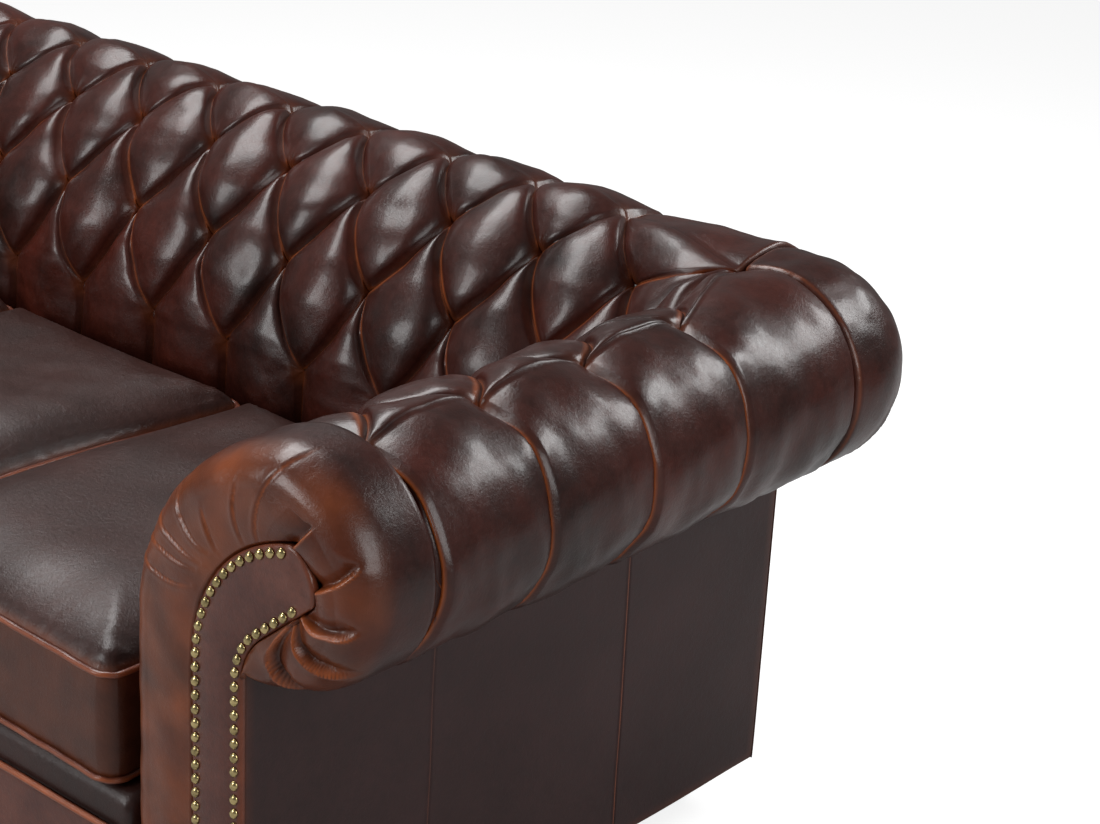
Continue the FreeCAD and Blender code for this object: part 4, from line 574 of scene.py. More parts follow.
def tuft(run, top, right, bottom, left, sizes, lips):
    """Diamond of leather between four buttons; lips name the edges that fold over a neighbour."""
    curves = {"tr": run.edge(top, right), "rb": run.edge(right, bottom),
              "lb": run.edge(left, bottom), "tl": run.edge(top, left)}
    a, b = STEPS[None, :, None], STEPS[:, None, None]
    corners = [run.points[name] for name in (top, right, bottom, left)]
    grid = ((1 - b) * curves["tr"][None, :, :] + b * curves["lb"][None, :, :]
            + (1 - a) * curves["tl"][:, None, :] + a * curves["rb"][:, None, :]
            - (1 - a) * (1 - b) * corners[0] - a * (1 - b) * corners[1] - a * b * corners[2]
            - (1 - a) * b * corners[3])
    a, b = a[..., 0], b[..., 0]
    length = 0.6 * np.linalg.norm(corners[1] - corners[3])
    near = {"tr": b * length, "lb": (1 - b) * length, "tl": a * length, "rb": (1 - a) * length}
    fades = {"tr": FADE[None, :], "lb": FADE[None, :], "tl": FADE[:, None], "rb": FADE[:, None]}
    domed = 16 * a * (1 - a) * b * (1 - b)
    height = sizes["extra"] * run.random.uniform(0.6, 1.35) * domed ** 0.5
    plain, drop = np.ones_like(height), np.zeros_like(height)
    for name, distance in near.items():
        drop = np.maximum(drop, fades[name] * crease_drop(distance))
        if name in lips:
            height = height + sizes["lip"] * fades[name] * lip_rise(distance)
        else:
            plain = plain * (1 - np.exp(-distance / 4.5))
    height += 3.0 * plain * domed ** 0.15
    sag = (corners[2] - corners[0]) * run.random.uniform(0.0, 0.05)
    sway = (corners[1] - corners[3]) * run.random.uniform(-0.03, 0.03)
    grid = grid + swell(grid) * (height - drop)[..., None] + (sag + sway) * domed[..., None]
    wear = np.zeros(grid.shape[:2])
    full = slice(None)
    picks = {"tr": lambda i: (i, full), "lb": lambda i: (-1 - i, full),
             "tl": lambda i: (full, i), "rb": lambda i: (full, -1 - i)}
    middle = np.mean(corners, axis=0)
    for name in lips:
        curve = curves[name]
        fold_lip(grid, wear, picks[name], side_of(curve, curve - middle), FADE, sizes["lip"] / LIP_SIZE)
    # A thin worn line beside each crease without a lip: partly rubbing, partly a painted highlight on the
    # rising edge of the tuft.
    for name in set(near) - set(lips):
        wear = np.maximum(wear, 0.6 * fades[name] * np.exp(-((near[name] - 4.2) / 1.3) ** 2))
    run.add(grid, wear)


def channel(run, left, right, heights, sizes, open_left=False, soften=None):
    """Strip of leather between two chains of pleats, given row by row; heights is its fullness.

    open_left is a strip whose left side is a ridge and not a crease; soften is the row where the pleats
    meet the straight part below them.
    """
    u = STEPS[None, :, None]
    grid = left[:, None, :] * (1 - u) + right[:, None, :] * u
    width = np.linalg.norm(right - left, axis=1)
    bulge = 4 * STEPS * (1 - STEPS)
    if soften is not None:
        held = np.sqrt(bulge)[None, :, None]
        turn = grid[soften - 14:soften + 9]
        for _ in range(90):
            turn[1:-1] += 0.5 * held * ((turn[:-2] + turn[2:]) / 2 - turn[1:-1])
    up = swell(grid)
    rise = heights[:, None] * (0.3 * bulge if open_left else bulge ** 0.62)[None, :]
    fade = smooth_step(width / 40)
    distance = {"left": STEPS[None, :] * width[:, None], "right": (1 - STEPS)[None, :] * width[:, None]}
    for name, apart in distance.items():
        if open_left and name == "left":
            continue
        if name == run.lip_side:
            rise += sizes["lip"] * fade[:, None] * lip_rise(apart)
        rise -= fade[:, None] * crease_drop(apart)
    grid = grid + up * rise[..., None]
    wear = np.zeros(grid.shape[:2])
    full = slice(None)
    if not (open_left and run.lip_side == "left"):
        curve, pick = ((right, lambda i: (full, -1 - i)) if run.lip_side == "right"
                       else (left, lambda i: (full, i)))
        outward = side_of(curve, curve - (left + right) / 2)
        fold_lip(grid, wear, pick, outward, fade * run.lip_mask(curve), sizes["lip"] / LIP_SIZE)
    run.add(grid, wear)


def roll_chain(run, start, column, count=46):
    """Pleat from a crest button over the roll to the tacking line."""
    tack = math.degrees(math.atan2(-math.sqrt(ROLL ** 2 - run.panel_out ** 2), run.panel_out))
    radius = math.hypot(start[1], start[2])
    angle = math.degrees(math.atan2(start[2], start[1]))
    t = np.linspace(0, 1, count)
    turn = angle + (tack - angle) * t
    mitred = (column == 0 and 0 in run.mitres) or column == run.last
    valley = ROLL - (1.5 if mitred else 5.0)
    r = radius + (valley - radius) * smooth_step((angle - turn) / 42)
    sideways = 3.0 * np.sin(math.pi * t) * run.random.uniform(-1, 1)
    turn = np.radians(turn)
    return np.stack([run.crest[column] + sideways, r * np.cos(turn), r * np.sin(turn)], axis=1)


def place_points(run):
    """Buttons of the four rows, and the feet of the pleats below them."""
    points, last = run.points, run.last
    middles = [(a + b) / 2 for a, b in zip(run.crest, run.crest[1:])]
    if 0 in run.mitres:
        middles[0] = run.crest[1] - (run.crest[2] - run.crest[1]) / 2
    middles[-1] = run.crest[-2] + (run.crest[-2] - run.crest[-3]) / 2
    for k in range(last + 1):
        corner = (k == 0 and 0 in run.mitres) or k == last
        points["crest", k] = np.array([run.crest[k], *(CORNER_BUTTON if corner else ROWS[0])])
        points["third", k] = run.on_row(2, run.crest[k])
        if k in (0, last):
            points["third", k] = run.at_end(points["third", k], run.ends[0 if k == 0 else 1])
    for k in range(last):
        points["second", k] = run.on_row(1, middles[k])
        points["fourth", k] = run.on_row(3, middles[k])
        points["foot", k] = np.array([middles[k], SEAT_VALLEY - run.fullness(middles[k]), BOTTOM])
        if k in run.mitres:
            for row in ("fourth", "foot"):
                points[row, k] = run.at_end(points[row, k], run.mitres[k])


def place_pleats(run, lift):
    """Pleats between neighbouring buttons; they bow towards the side that the lips come from."""
    bow_side = -1 if run.lip_side == "right" else 1

    def pleat(a, b, end=None):
        start, finish = run.points[a], run.points[b]
        downhill = finish[0] > start[0]
        # The pleats that run back under a tuft arch more than those that hang from the button
        arching = downhill == (run.lip_side == "left")
        bow = (14.0 if arching else 8.0) * bow_side * (1 if downhill else -1)
        if end is not None:
            run.edge(a, b, lift, 0.0, end)
        else:
            run.edge(a, b, lift * run.random.uniform(0.75, 1.3), -bow * run.random.uniform(0.75, 1.35))

    for k in range(run.last):
        for column in (k, k + 1):
            pleat(("crest", column), ("second", k))
            pleat(("second", k), ("third", column))
            at_mitre = column == (0 if k == 0 else run.last)
            pleat(("third", column), ("fourth", k), run.mitres.get(k) if at_mitre else None)


def build_run(run, sizes):
    """Leather of a run: diamonds, half diamonds at the ends, and channels above and below them."""
    points, last = run.points, run.last
    place_points(run)
    place_pleats(run, sizes["lift"])
    lips = ("tr", "rb") if run.lip_side == "right" else ("tl", "lb")
    for k in range(1, last):
        tuft(run, ("crest", k), ("second", k), ("third", k), ("second", k - 1), sizes, lips)
    for k in range(last):
        without = {0: "lb", last - 1: "rb"}[k] if k in run.mitres else None
        tuft(run, ("second", k), ("third", k + 1), ("fourth", k), ("third", k), sizes,
             [name for name in lips if name != without])
    for end, column, nearest in ((run.ends[0], 0, 0), (run.ends[1], last, last - 1)):
        half = ("half", column)
        full = sizes["puff"] * (0.35 if end[1] else 1.0)
        points[half] = run.at_end(run.on_row(1, run.crest[column], full), end)
        run.edge(("crest", column), half, 6.0, 0.0, end)
        run.edge(half, ("third", column), 8.0, 0.0, end)
        beside_it = [("second", nearest), half] if column == 0 else [half, ("second", nearest)]
        without = ("tl", "lb") if column == 0 else ("tr", "rb")
        tuft(run, ("crest", column), beside_it[0], ("third", column), beside_it[1], sizes,
             [name for name in lips if name not in without])

    # Channels that run from the second row over the roll
    rows = len(STEPS)
    chains = [roll_chain(run, points["crest", k], k) for k in range(last + 1)]
    for k in range(last):
        left, right = (np.vstack([run.edge(("second", k), ("crest", column)), chains[column][1:]])
                       for column in (k, k + 1))
        radii = (np.hypot(left[:, 1], left[:, 2]) + np.hypot(right[:, 1], right[:, 2])) / 2
        heights = ROLL + 1.5 - radii
        heights[:rows] = heights[rows - 1] * STEPS
        channel(run, left, right, heights, sizes)

    # Channels below the third row
    t = np.linspace(0, 1, 18)[1:, None]
    feet = []
    for k in range(last):
        line = points["fourth", k] + (points["foot", k] - points["fourth", k]) * t
        line[:, 1] += 5 * np.sin(math.pi * t[:, 0])
        feet.append(run.at_end(line, run.mitres[k]) if k in run.mitres else line)
    heights = np.concatenate([24 * STEPS, 24 - 10 * t[:, 0]])
    for k in range(1, last):
        left, right = (np.vstack([run.edge(("third", k), ("fourth", foot)), feet[foot]]) for foot in (k - 1, k))
        channel(run, left, right, heights, sizes, soften=rows)
    if 0 in run.mitres:
        return

    # Half channel at the square front end: its outer side is a ridge that runs on into the arm front
    end = run.ends[0]
    ridge = np.array([run.crest[0], SEAT_VALLEY - run.fullness(run.crest[0]) - sizes["puff"] / 2, BOTTOM])
    start, middle = points["third", 0], run.at_end(run.on_row(3, run.crest[0], sizes["puff"]), end)
    across = STEPS[:, None]
    upper = start + (middle - start) * across
    upper = upper + swell(upper) * 9 * (4 * across * (1 - across)) ** 0.7
    left = run.at_end(np.vstack([upper, middle + (ridge - middle) * t]), end)
    right = np.vstack([run.edge(("third", 0), ("fourth", 0)), feet[0]])
    channel(run, left, right, 10.0 * smooth_step(np.arange(len(left)) / 30), sizes, open_left=True)
    inner = [run.edge(("crest", 0), ("half", 0)), run.edge(("half", 0), ("third", 0))[1:]]
    run.front_chain = (chains[0][::-1], np.vstack(inner), left)


def run_buttons(run):
    """Button places and the direction that each one faces; there are none on the mitres."""
    found = []
    for (row, _number), point in run.points.items():
        at_corner = row == "crest" and abs(point[2] - CORNER_BUTTON[1]) < 1e-6
        on_mitre = row in ("third", "fourth") and any(
            end[1] and abs(point[0] - (end[0] + end[1] * point[1])) < 0.5 for end in run.ends)
        if row not in ("foot", "half") and not at_corner and not on_mitre:
            found.append((point, swell(point)))
    return found


def roughen(run, sizes):
    """Wrinkles that spread from the buttons, and the unevenness of hand-stuffed hair."""
    points = np.vstack(run.verts)
    wear = np.concatenate(run.wear)
    rng = np.random.default_rng(run.seed + 7)
    rise = 2.2 * waves(points, 80, run.seed) + 0.6 * waves(points, 28, run.seed + 1)
    for place, facing in run_buttons(run):
        offset = points - place
        far = np.linalg.norm(offset, axis=1)
        inside = far < 75
        across = np.cross(facing, (1.0, 0.0, 0.0))
        angle = np.arctan2(offset[inside] @ across, offset[inside][:, 0])
        d = far[inside]
        ridges = sum(np.sin(angle * rng.integers(7, 15) + rng.uniform(0, 6.28)) for _ in range(3))
        rise[inside] += sizes["wrinkle"] * 0.6 * ridges * np.exp(-d / 20) * (1 - np.exp(-d / 5))
        rise[inside] -= 3.0 * np.exp(-(d / 9) ** 2)
        wear[inside] = np.maximum(wear[inside], 0.3 * np.exp(-(d / 15) ** 2))
    held = smooth_step((points[:, 2] - BOTTOM) / 40)
    return points + swell(points) * (rise * (0.3 + 0.7 * held))[:, None], wear


def close_behind(run, to_space, step=45.0):
    """Closes a run's open edge on to a line inside the padding."""
    low, high = run.crest[0] + 60, run.crest[-1] - 60

    def close(work):
        made = {}

        def inner(vert):
            along = min(max(round(to_space.along(vert.co) / step) * step, low), high)
            if along not in made:
                made[along] = work.verts.new(to_space(np.array([along, -75.0, -110.0])))
            return made[along]

        for edge in [edge for edge in work.edges if edge.is_boundary]:
            a, b = edge.verts
            inner_a, inner_b = inner(a), inner(b)
            try:
                work.faces.new([a, b, inner_b] if inner_a is inner_b else [a, b, inner_b, inner_a])
            except ValueError:
                continue
    return close


class Space:
    """Turns a run's coordinates (along, outwards, upwards) into the sofa's millimetres."""

    def __init__(self, order, origin):
        self.order, self.origin = order, origin

    def __call__(self, points):
        return np.asarray(points)[..., self.order] + self.origin

    def along(self, place):
        return place[self.order.index(0)]


FRONT_Y = -476.0
FRONT_STEPS = (0, .012, .03, .05, .075, .105, .14, .18, .23, .3, .38, .47, .56, .66, .76, .88, 1)
ARM_FIRST = -368.6
BACK_PITCH = 147.0
to_arm = Space([1, 0, 2], (ROLL_X, 0.0, ROLL_Z))
to_back = Space([0, 1, 2], (0.0, ROLL_Y, ROLL_Z))


def arm_run():
    mitre = ROLL_Y - 0.4
    corner = mitre + CORNER_BUTTON[0]
    # The last tuft before the corner is longer than the others
    pitch = (corner - ARM_FIRST) / (3 + 1.22)
    crest = [ARM_FIRST + k * pitch for k in range(4)] + [corner]

    def fullness(along):
        return 22.0 * max(0.0, (corner - along) / (corner - ARM_FIRST))

    run = Run(crest, [(ARM_FIRST, 0), (mitre, 1)], LEG_OUTER, "left", fullness, 31)
    run.lip_mask = lambda curve: smooth_step((ROLL_Y - 70 - curve[:, 0]) / 30)
    return run


def back_run():
    corner = ROLL_X + CORNER_BUTTON[0]
    crest = [-corner] + [(k - 4.5) * BACK_PITCH for k in range(10)] + [corner]
    run = Run(crest, [(-ROLL_X, -1), (ROLL_X, 1)], 45.0, "right", lambda along: 0.0, 17)
    run.lip_mask = lambda curve: smooth_step((corner - 30 - np.abs(curve[:, 0])) / 30)
    return run


def padding_sizes(padding):
    return {"lift": padding.pleat_lift * 1000, "extra": padding.tuft_extra * 1000,
            "lip": padding.lip_height * 1000, "wrinkle": padding.wrinkle * 1000, "puff": 28.0}


def mirror_copy(source, name):
    """Left-hand copy of a right-hand piece, with its own mesh."""
    copy = source.copy()
    copy.data = source.data.copy()
    copy.name = name
    for key in list(copy.keys()):
        if key.startswith("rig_"):
            del copy[key]
    copy.parent = None
    copy.matrix_world = Matrix.Identity(4)
    bpy.context.scene.collection.objects.link(copy)
    work = bmesh.new()
    work.from_mesh(copy.data)
    bmesh.ops.scale(work, vec=(-1, 1, 1), verts=work.verts)
    bmesh.ops.reverse_faces(work, faces=work.faces)
    work.to_mesh(copy.data)
    work.free()
    return copy


# Arm front

def facing_lines(bend_count, rise_count, cap_count, long_count):
    """Facing in the arm's front view: outer edge up to its head, round the head, and inner edge down again."""
    short = arc((LEG_OUTER + SHORT_RADIUS, LEG_SPRING), SHORT_RADIUS, 180, NECK_TURN, bend_count)
    rise = HEAD_LENGTH * np.array([math.cos(HEAD_TURN), math.sin(HEAD_TURN)])
    neck = short[-1] + rise * np.linspace(0, 1, rise_count)[1:, None]
    long_edge = arc((LEG_INNER + LONG_RADIUS, LEG_SPRING), LONG_RADIUS, TIP_TURN, 180, long_count)
    head, tip = neck[-1], long_edge[0]
    chord = tip - head
    turn = np.linspace(0, math.pi, cap_count)[:, None]
    out = HEAD_BULGE * np.array([chord[1], -chord[0]])
    cap = (head + tip) / 2 - chord / 2 * np.cos(turn) + out * np.sin(turn)
    return np.vstack([short, neck]), cap, long_edge


def arm_outline():
    """Stuffed arm's front view: from the tacking line over the roll, and down the inner side."""
    spring = -math.sqrt(ROLL ** 2 - LEG_OUTER ** 2)
    big = (ARM_INSET ** 2 + spring ** 2 - ROLL ** 2) / (2 * (ARM_INSET - ROLL))
    centre = (big - ARM_INSET, spring)
    touch = math.degrees(math.atan2(-centre[1], -centre[0]))
    tack = math.degrees(math.atan2(spring, LEG_OUTER))
    return arc((0, 0), ROLL, tack, touch, 90), arc(centre, big, touch, 180, 40)


# Gathers round the facing's head: the rubbed lip of each, from the facing outwards, and the depth of its hollow
GATHERS = (
    (((23.4, 11.4), (26.4, 33.0), (42.6, 51.4), (53.8, 65.4), (56.0, 71.2)), 8.0),
    (((40.4, -3.1), (63.3, 6.6), (85.9, 19.9), (101.6, 34.5), (107.7, 45.5)), 11.0),
    (((40.8, -26.2), (51.0, -32.8), (67.6, -35.6), (97.0, -30.4), (113.5, -19.5)), 11.0),
    (((34.4, -39.1), (36.4, -59.3), (48.5, -73.0), (75.3, -79.6), (99.8, -73.9)), 12.0),
    (((27.7, -42.9), (11.1, -63.7), (1.8, -85.8), (8.3, -107.4), (18.7, -116.7), (35.8, -119.2)), 12.0),
)
# Fine creases of the arm front, with a worn edge
CREASES = (
    ((-15.3, 28.9), (-22.0, 56.0), (-8.0, 98.0), (18.0, 121.0)),
    ((-35.1, 22.0), (-52.6, 52.3), (-46.0, 86.5)),
    ((-72.0, 2.0), (-84.0, 22.0), (-92.0, 40.0)),
    ((-83.9, -3.0), (-112.0, 3.0), (-134.0, 22.0), (-141.0, 48.8)),
    ((-94.0, -18.0), (-128.0, -12.0), (-158.0, -2.0), (-172.0, 12.0)),
    ((-101.8, -26.6), (-137.9, -30.1), (-163.5, -17.5), (-191.4, -18.0)),
    ((-109.0, -47.0), (-135.0, -56.0), (-160.0, -54.0), (-198.0, -40.0)),
)


def bezier_line(points, count=40):
    """Bezier curve with these control points."""
    t = np.linspace(0, 1, count)[:, None]
    order = len(points) - 1
    return sum(math.comb(order, i) * (1 - t) ** (order - i) * t ** i * np.array(point)
               for i, point in enumerate(points))


def smooth_line(points, count=60):
    """Catmull-Rom curve through the points."""
    p = np.array([points[0], *points, points[-1]], float)
    found = []
    for i in range(len(p) - 3):
        t = np.linspace(0, 1, count // (len(p) - 3), endpoint=i == len(p) - 4)[:, None]
        a, b, c, d = p[i:i + 4]
        found.append(0.5 * (2 * b + (c - a) * t + (2 * a - 5 * b + 4 * c - d) * t ** 2
                            + (3 * b - a - 3 * c + d) * t ** 3))
    return np.vstack(found)


def beside(places, line):
    """For points in a plane: share along a line, and signed distance from it."""
    offset = places[:, None, :] - line[None, :, :]
    square = np.sum(offset ** 2, axis=2)
    nearest = np.argmin(square, axis=1)
    tangent = np.gradient(line, axis=0)[nearest]
    tangent /= np.linalg.norm(tangent, axis=1)[:, None]
    d = places - line[nearest]
    signed = tangent[:, 0] * d[:, 1] - tangent[:, 1] * d[:, 0]
    ahead = np.abs(np.sum(d * tangent, axis=1))
    distance = np.hypot(signed, ahead)
    return nearest / (len(line) - 1), np.sign(signed) * distance, distance


def front_lines(chain):
    """Lines round the arm front: where the buttoned leather ends, the arm's outline, and the facing's edge."""
    counts = (ROLL_COLUMNS, UPPER_COLUMNS, LOWER_COLUMNS)
    parts = [by_length(line, count) for line, count in zip(chain, counts)]
    rear = np.vstack([parts[0], parts[1][1:], parts[2][1:]])
    foot = rear[-1]
    rear = np.vstack([rear, np.linspace(foot, (foot[0], foot[1], LEG_FOOT), LEG_COLUMNS)[1:]])
    over, inner = arm_outline()
    # The crest button sits at this share of the line over the roll
    crest = 0.80
    rest = np.vstack([by_length(over, np.linspace(crest, 1, 30)), inner[1:]])
    outline_rest = by_length(rest, UPPER_COLUMNS + LOWER_COLUMNS - 1)[1:]
    leg = np.linspace(outline_rest[-1][1], LEG_FOOT, LEG_COLUMNS + 14)[1:]
    outline = np.vstack([by_length(over, np.linspace(0, crest, ROLL_COLUMNS)), outline_rest,
                         np.column_stack([np.full(len(leg), -ARM_INSET), leg])])
    outline = by_length(outline, len(rear))
    short, cap, long_edge = facing_lines(12, 14, 14, 30)
    leg = np.linspace(LEG_SPRING, LEG_FOOT, 30)[1:]
    edge = np.vstack([short, cap[1:], long_edge[1:], np.column_stack([np.full(len(leg), LEG_INNER), leg])])

    def place_on(line, point):
        return travelled(line)[np.argmin(np.linalg.norm(line - np.array(point), axis=1))]

    knots = np.interp(travelled(outline), [place_on(outline, a) for a, _b in FRONT_KNOTS],
                      [place_on(edge, b) for _a, b in FRONT_KNOTS])
    return rear, outline, by_length(edge, knots / travelled(edge)[-1])


def front_grid(rear, outline, edge):
    """Leather of the arm front, from the buttoned part forward and in to the facing, and its normals."""
    total = len(rear)
    lengths = travelled(outline)
    tangent = np.gradient(outline, axis=0)
    tangent /= np.linalg.norm(tangent, axis=1)[:, None]
    inward = np.stack([-tangent[:, 1], tangent[:, 0]], axis=1)
    flip = np.sign(np.sum((FRONT_MIDDLE - outline) * inward, axis=1))
    inward *= np.where(flip == 0, 1, flip)[:, None]
    inward[(outline[:, 1] < -118) & (outline[:, 0] < -200)] = (1.0, 0.0)
    rows, normals = [], []
    # The front is rounded all round, but tightens where the leather is tacked under the roll
    opened = smooth_step(lengths / 75)
    deep, radius = 8.0 + 38.0 * opened, 5.0 + 33.0 * opened
    turn_y = FRONT_Y + deep
    # The leather rises steeply from the last pleat over the roll, and slowly from the deep tufts on the inside
    reach = np.interp(np.arange(total), (ROLL_COLUMNS - 85, ROLL_COLUMNS - 15), (13.0, 46.0))
    for step in FRONT_STEPS:
        gone = (ARM_FIRST - turn_y) * step
        ease = (smooth_step(gone / reach) ** np.interp(reach, (13, 46), (0.5, 0.8)))[:, None]
        rows.append(np.column_stack([ARM_FIRST - gone, rear[:, 1:] * (1 - ease) + outline * ease]))
        normals.append(np.column_stack([np.zeros(total), -inward]))
    for a in np.linspace(0, math.pi / 2, 24)[1:]:
        flat = outline + inward * (radius * (1 - math.cos(a)))[:, None]
        rows.append(np.column_stack([turn_y - deep * math.sin(a), flat]))
        normals.append(np.column_stack([np.full(total, -math.sin(a)), -inward * math.cos(a)]))
    start = outline + inward * radius[:, None]
    for t in np.linspace(0, 1, 44)[1:]:
        face_y = FRONT_Y - 3.0 * math.sin(math.pi * min(t * 1.1, 1.0)) + 5.0 * smooth_step((t - 0.93) / 0.07)
        rows.append(np.column_stack([np.full(total, face_y), start * (1 - t) + edge * t]))
        normals.append(np.column_stack([np.full(total, -1.0), np.zeros((total, 2))]))
    return np.array(rows), np.array(normals)


def build_arm_front(run):
    """Front of the right arm: leather drawn over the stuffing and gathered to the facing."""
    grid, normals = front_grid(*front_lines(run.front_chain))
    shape = grid.shape[:2]
    points = grid.reshape(-1, 3)
    places = points[:, 1:]
    push, wear = np.zeros(len(points)), np.zeros(len(points))
    ahead = smooth_step((ARM_FIRST - 40 - points[:, 0]) / 40)
    for line, depth in GATHERS:
        share, signed, distance = beside(places, smooth_line(line))
        inside = (distance < 30) * ahead
        ends = smooth_step((1 - share) / 0.3)
        deep_here = depth * (0.3 + 0.7 * smooth_step(share / 0.4)) * ends
        past = np.maximum(signed - 3.0, 0.0)
        push -= inside * deep_here * smooth_step(signed / 3.5) * np.exp(-(past / 13.0) ** 1.6)
        lip = np.exp(-np.abs(np.minimum(signed + 1.0, 0.0)) / 7.0) * (1 - smooth_step((signed + 1.0) / 3.0))
        push += inside * 2.6 * lip * ends
        mark_strength = np.exp(-((signed + 0.2) / 2.0) ** 2) * ends
        hollow = np.exp(-((signed - 5.0) / 5.0) ** 2) * ends * (1 - share)
        wear = np.maximum(wear, inside * np.maximum(0.95 * mark_strength, 0.4 * hollow))
    for crease in CREASES:
        share, signed, distance = beside(places, bezier_line(crease))
        strength = ahead * (0.35 + 0.65 * np.sin(math.pi * share))
        push -= 1.7 * strength * np.exp(-(distance / 1.9) ** 2)
        push += 1.3 * strength * np.exp(-((signed - 4.5) / 3.5) ** 2) * (distance < 14)
        wear = np.maximum(wear, 0.7 * strength * np.exp(-((signed - 1.2) / 1.2) ** 2) * (distance < 8))
    # The last rows, where the leather is nailed, are rubbed
    at_nails = np.zeros(shape)
    at_nails[-6:, :] = np.linspace(0, 1, 6)[:, None]
    wear = np.maximum(wear, 0.45 * at_nails.reshape(-1))
    # The rubbed front is browner than the roll, most of all on the inner side
    inner_side = 0.6 + 0.4 * smooth_step((20 - places[:, 0]) / 80)
    forward = smooth_step((-425 - points[:, 0]) / 40)
    wear = np.maximum(wear, 0.36 * forward * inner_side * (0.85 + 0.3 * waves(points, 60, 9)))
    push += 0.9 * waves(points, 55, 5) * ahead
    return points + normals.reshape(-1, 3) * push[:, None], wear, shape


def remeshed(node, name, voxel):
    """Copy of a construction node's form as one even skin."""
    bpy.ops.object.select_all(action="DESELECT")
    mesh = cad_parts[node].data.copy()
    mesh.materials.clear()
    skin = bpy.data.objects.new(name, mesh)
    bpy.context.scene.collection.objects.link(skin)
    bpy.context.view_layer.objects.active = skin
    skin.select_set(True)
    bpy.ops.object.mode_set(mode="EDIT")
    bpy.ops.mesh.select_all(action="SELECT")
    bpy.ops.mesh.remove_doubles(threshold=0.00002)
    bpy.ops.object.mode_set(mode="OBJECT")
    for kind, settings in (("REMESH", {"mode": "VOXEL", "voxel_size": voxel}),
                           ("SMOOTH", {"factor": 0.5, "iterations": 5})):
        modifier = skin.modifiers.new(kind.title(), kind)
        for key, value in settings.items():
            setattr(modifier, key, value)
        bpy.ops.object.modifier_apply(modifier=modifier.name)
    skin.data.shade_smooth()
    return skin


# Corner rolls

# Folds of a corner roll: degrees round from the arm's outside, lowest and highest degrees, and depth
CORNER_FOLDS = ((24.0, -68.0, -6.0, 3.2), (41.0, -70.0, 6.0, 4.2), (60.0, -68.0, -8.0, 3.0))


def build_corner(node, name, sign):
    """Corner stuffing as one drawn skin, with soft folds gathered under the turn of the roll."""
    skin = remeshed(node, name, 0.004)
    count = len(skin.data.vertices)
    co = np.empty(count * 3)
    skin.data.vertices.foreach_get("co", co)
    points = co.reshape(-1, 3) * 1000
    centre = np.array([sign * ROLL_X, ROLL_Y, ROLL_Z])
    offset = (points - centre) * (sign, 1, 1)
    radius = np.linalg.norm(offset, axis=1)
    outward = offset / radius[:, None]
    around = np.degrees(np.arctan2(offset[:, 1], offset[:, 0]))
    height = np.degrees(np.arcsin(np.clip(outward[:, 2], -1, 1)))
    skinside = smooth_step((radius - 100) / 20)
    rise = 1.4 * waves(offset, 90, 71) + 0.4 * waves(offset, 30, 72)
    wear = np.zeros(count)
    for at, low, high, deep in CORNER_FOLDS:
        beyond = (around - at - 0.12 * (height + 20)) * 2.1
        along = smooth_step((height - low) / 18) * smooth_step((high - height) / 22)
        rise -= deep * along * np.exp(-((beyond - 2.0) / 4.0) ** 2)
        rise += 0.75 * deep * along * np.exp(-((beyond + 7.0) / 6.5) ** 2)
        wear = np.maximum(wear, 0.5 * along * np.exp(-((beyond + 1.5) / 1.8) ** 2))
    edge_y = offset[:, 1] + 51.5
    edge_x = offset[:, 0] + 51.5
    for apart in (edge_x, edge_y):
        rise -= 3.0 * np.exp(-(apart / 5.0) ** 2) * (offset[:, 2] > -112)
        wear = np.maximum(wear, 0.25 * np.exp(-((apart - 5.0) / 2.0) ** 2))
    points += outward * (sign, 1, 1) * (rise * skinside)[:, None]
    skin.data.vertices.foreach_set("co", (points / 1000).reshape(-1))
    values = skin.data.attributes.get("wear") or skin.data.attributes.new("wear", "FLOAT", "POINT")
    values.data.foreach_set("value", wear)
    dress(skin, "sofa", MATERIALS["tufted"], node, slot="leather", padded=0.95)


# Facings and their nails

def build_facing():
    """Leather drawn over the hooked facing board, from the outer leg to the inner edge."""
    outer_line, cap, inner_line = facing_lines(24, 30, 40, 53)
    leg = np.linspace(LEG_FOOT, LEG_SPRING, 60)[:-1]
    outer, inner = (by_length(np.vstack([np.column_stack([np.full(len(leg), x), leg]), line]), 150)
                    for x, line in ((LEG_OUTER, outer_line), (LEG_INNER, inner_line[::-1])))
    across = np.linspace(0, 1, 26)[:, None]
    cap = by_length(cap, len(across))
    rows = [a * (1 - across) + b * across for a, b in zip(outer, inner)]
    rows += [rows[-1] * (1 - t) + cap * t for t in np.linspace(0, 1, 14)[1:]]
    grid = np.array(rows)
    flat = grid.reshape(-1, 2)
    rim = by_length(np.vstack([outer, cap, inner[::-1]]), 900)
    depth = np.min(np.linalg.norm(flat[:, None, :] - rim[None, :, :], axis=2), axis=1)
    depth = np.minimum(depth, flat[:, 1] - LEG_FOOT + 2.0)
    lift = 3.5 * np.sqrt(1 - (1 - np.clip(depth / 4.0, 0, 1)) ** 2) + 1.2 * smooth_step((depth - 8) / 22)
    for place in nail_places():
        lift -= 0.9 * np.exp(-(np.hypot(*(flat - place).T) / 5.5) ** 2)
    lift += 0.35 * waves(np.column_stack([flat, np.zeros(len(flat))]), 60, 3)
    wear = 0.25 * np.exp(-(depth / 3.0) ** 2)
    front = np.column_stack([FACING_FRONT - lift, flat])
    back = np.column_stack([np.full(len(flat), FACING_BACK), flat])
    return to_arm(np.vstack([front, back])), slab_faces(*grid.shape[:2]), np.concatenate([wear, wear])


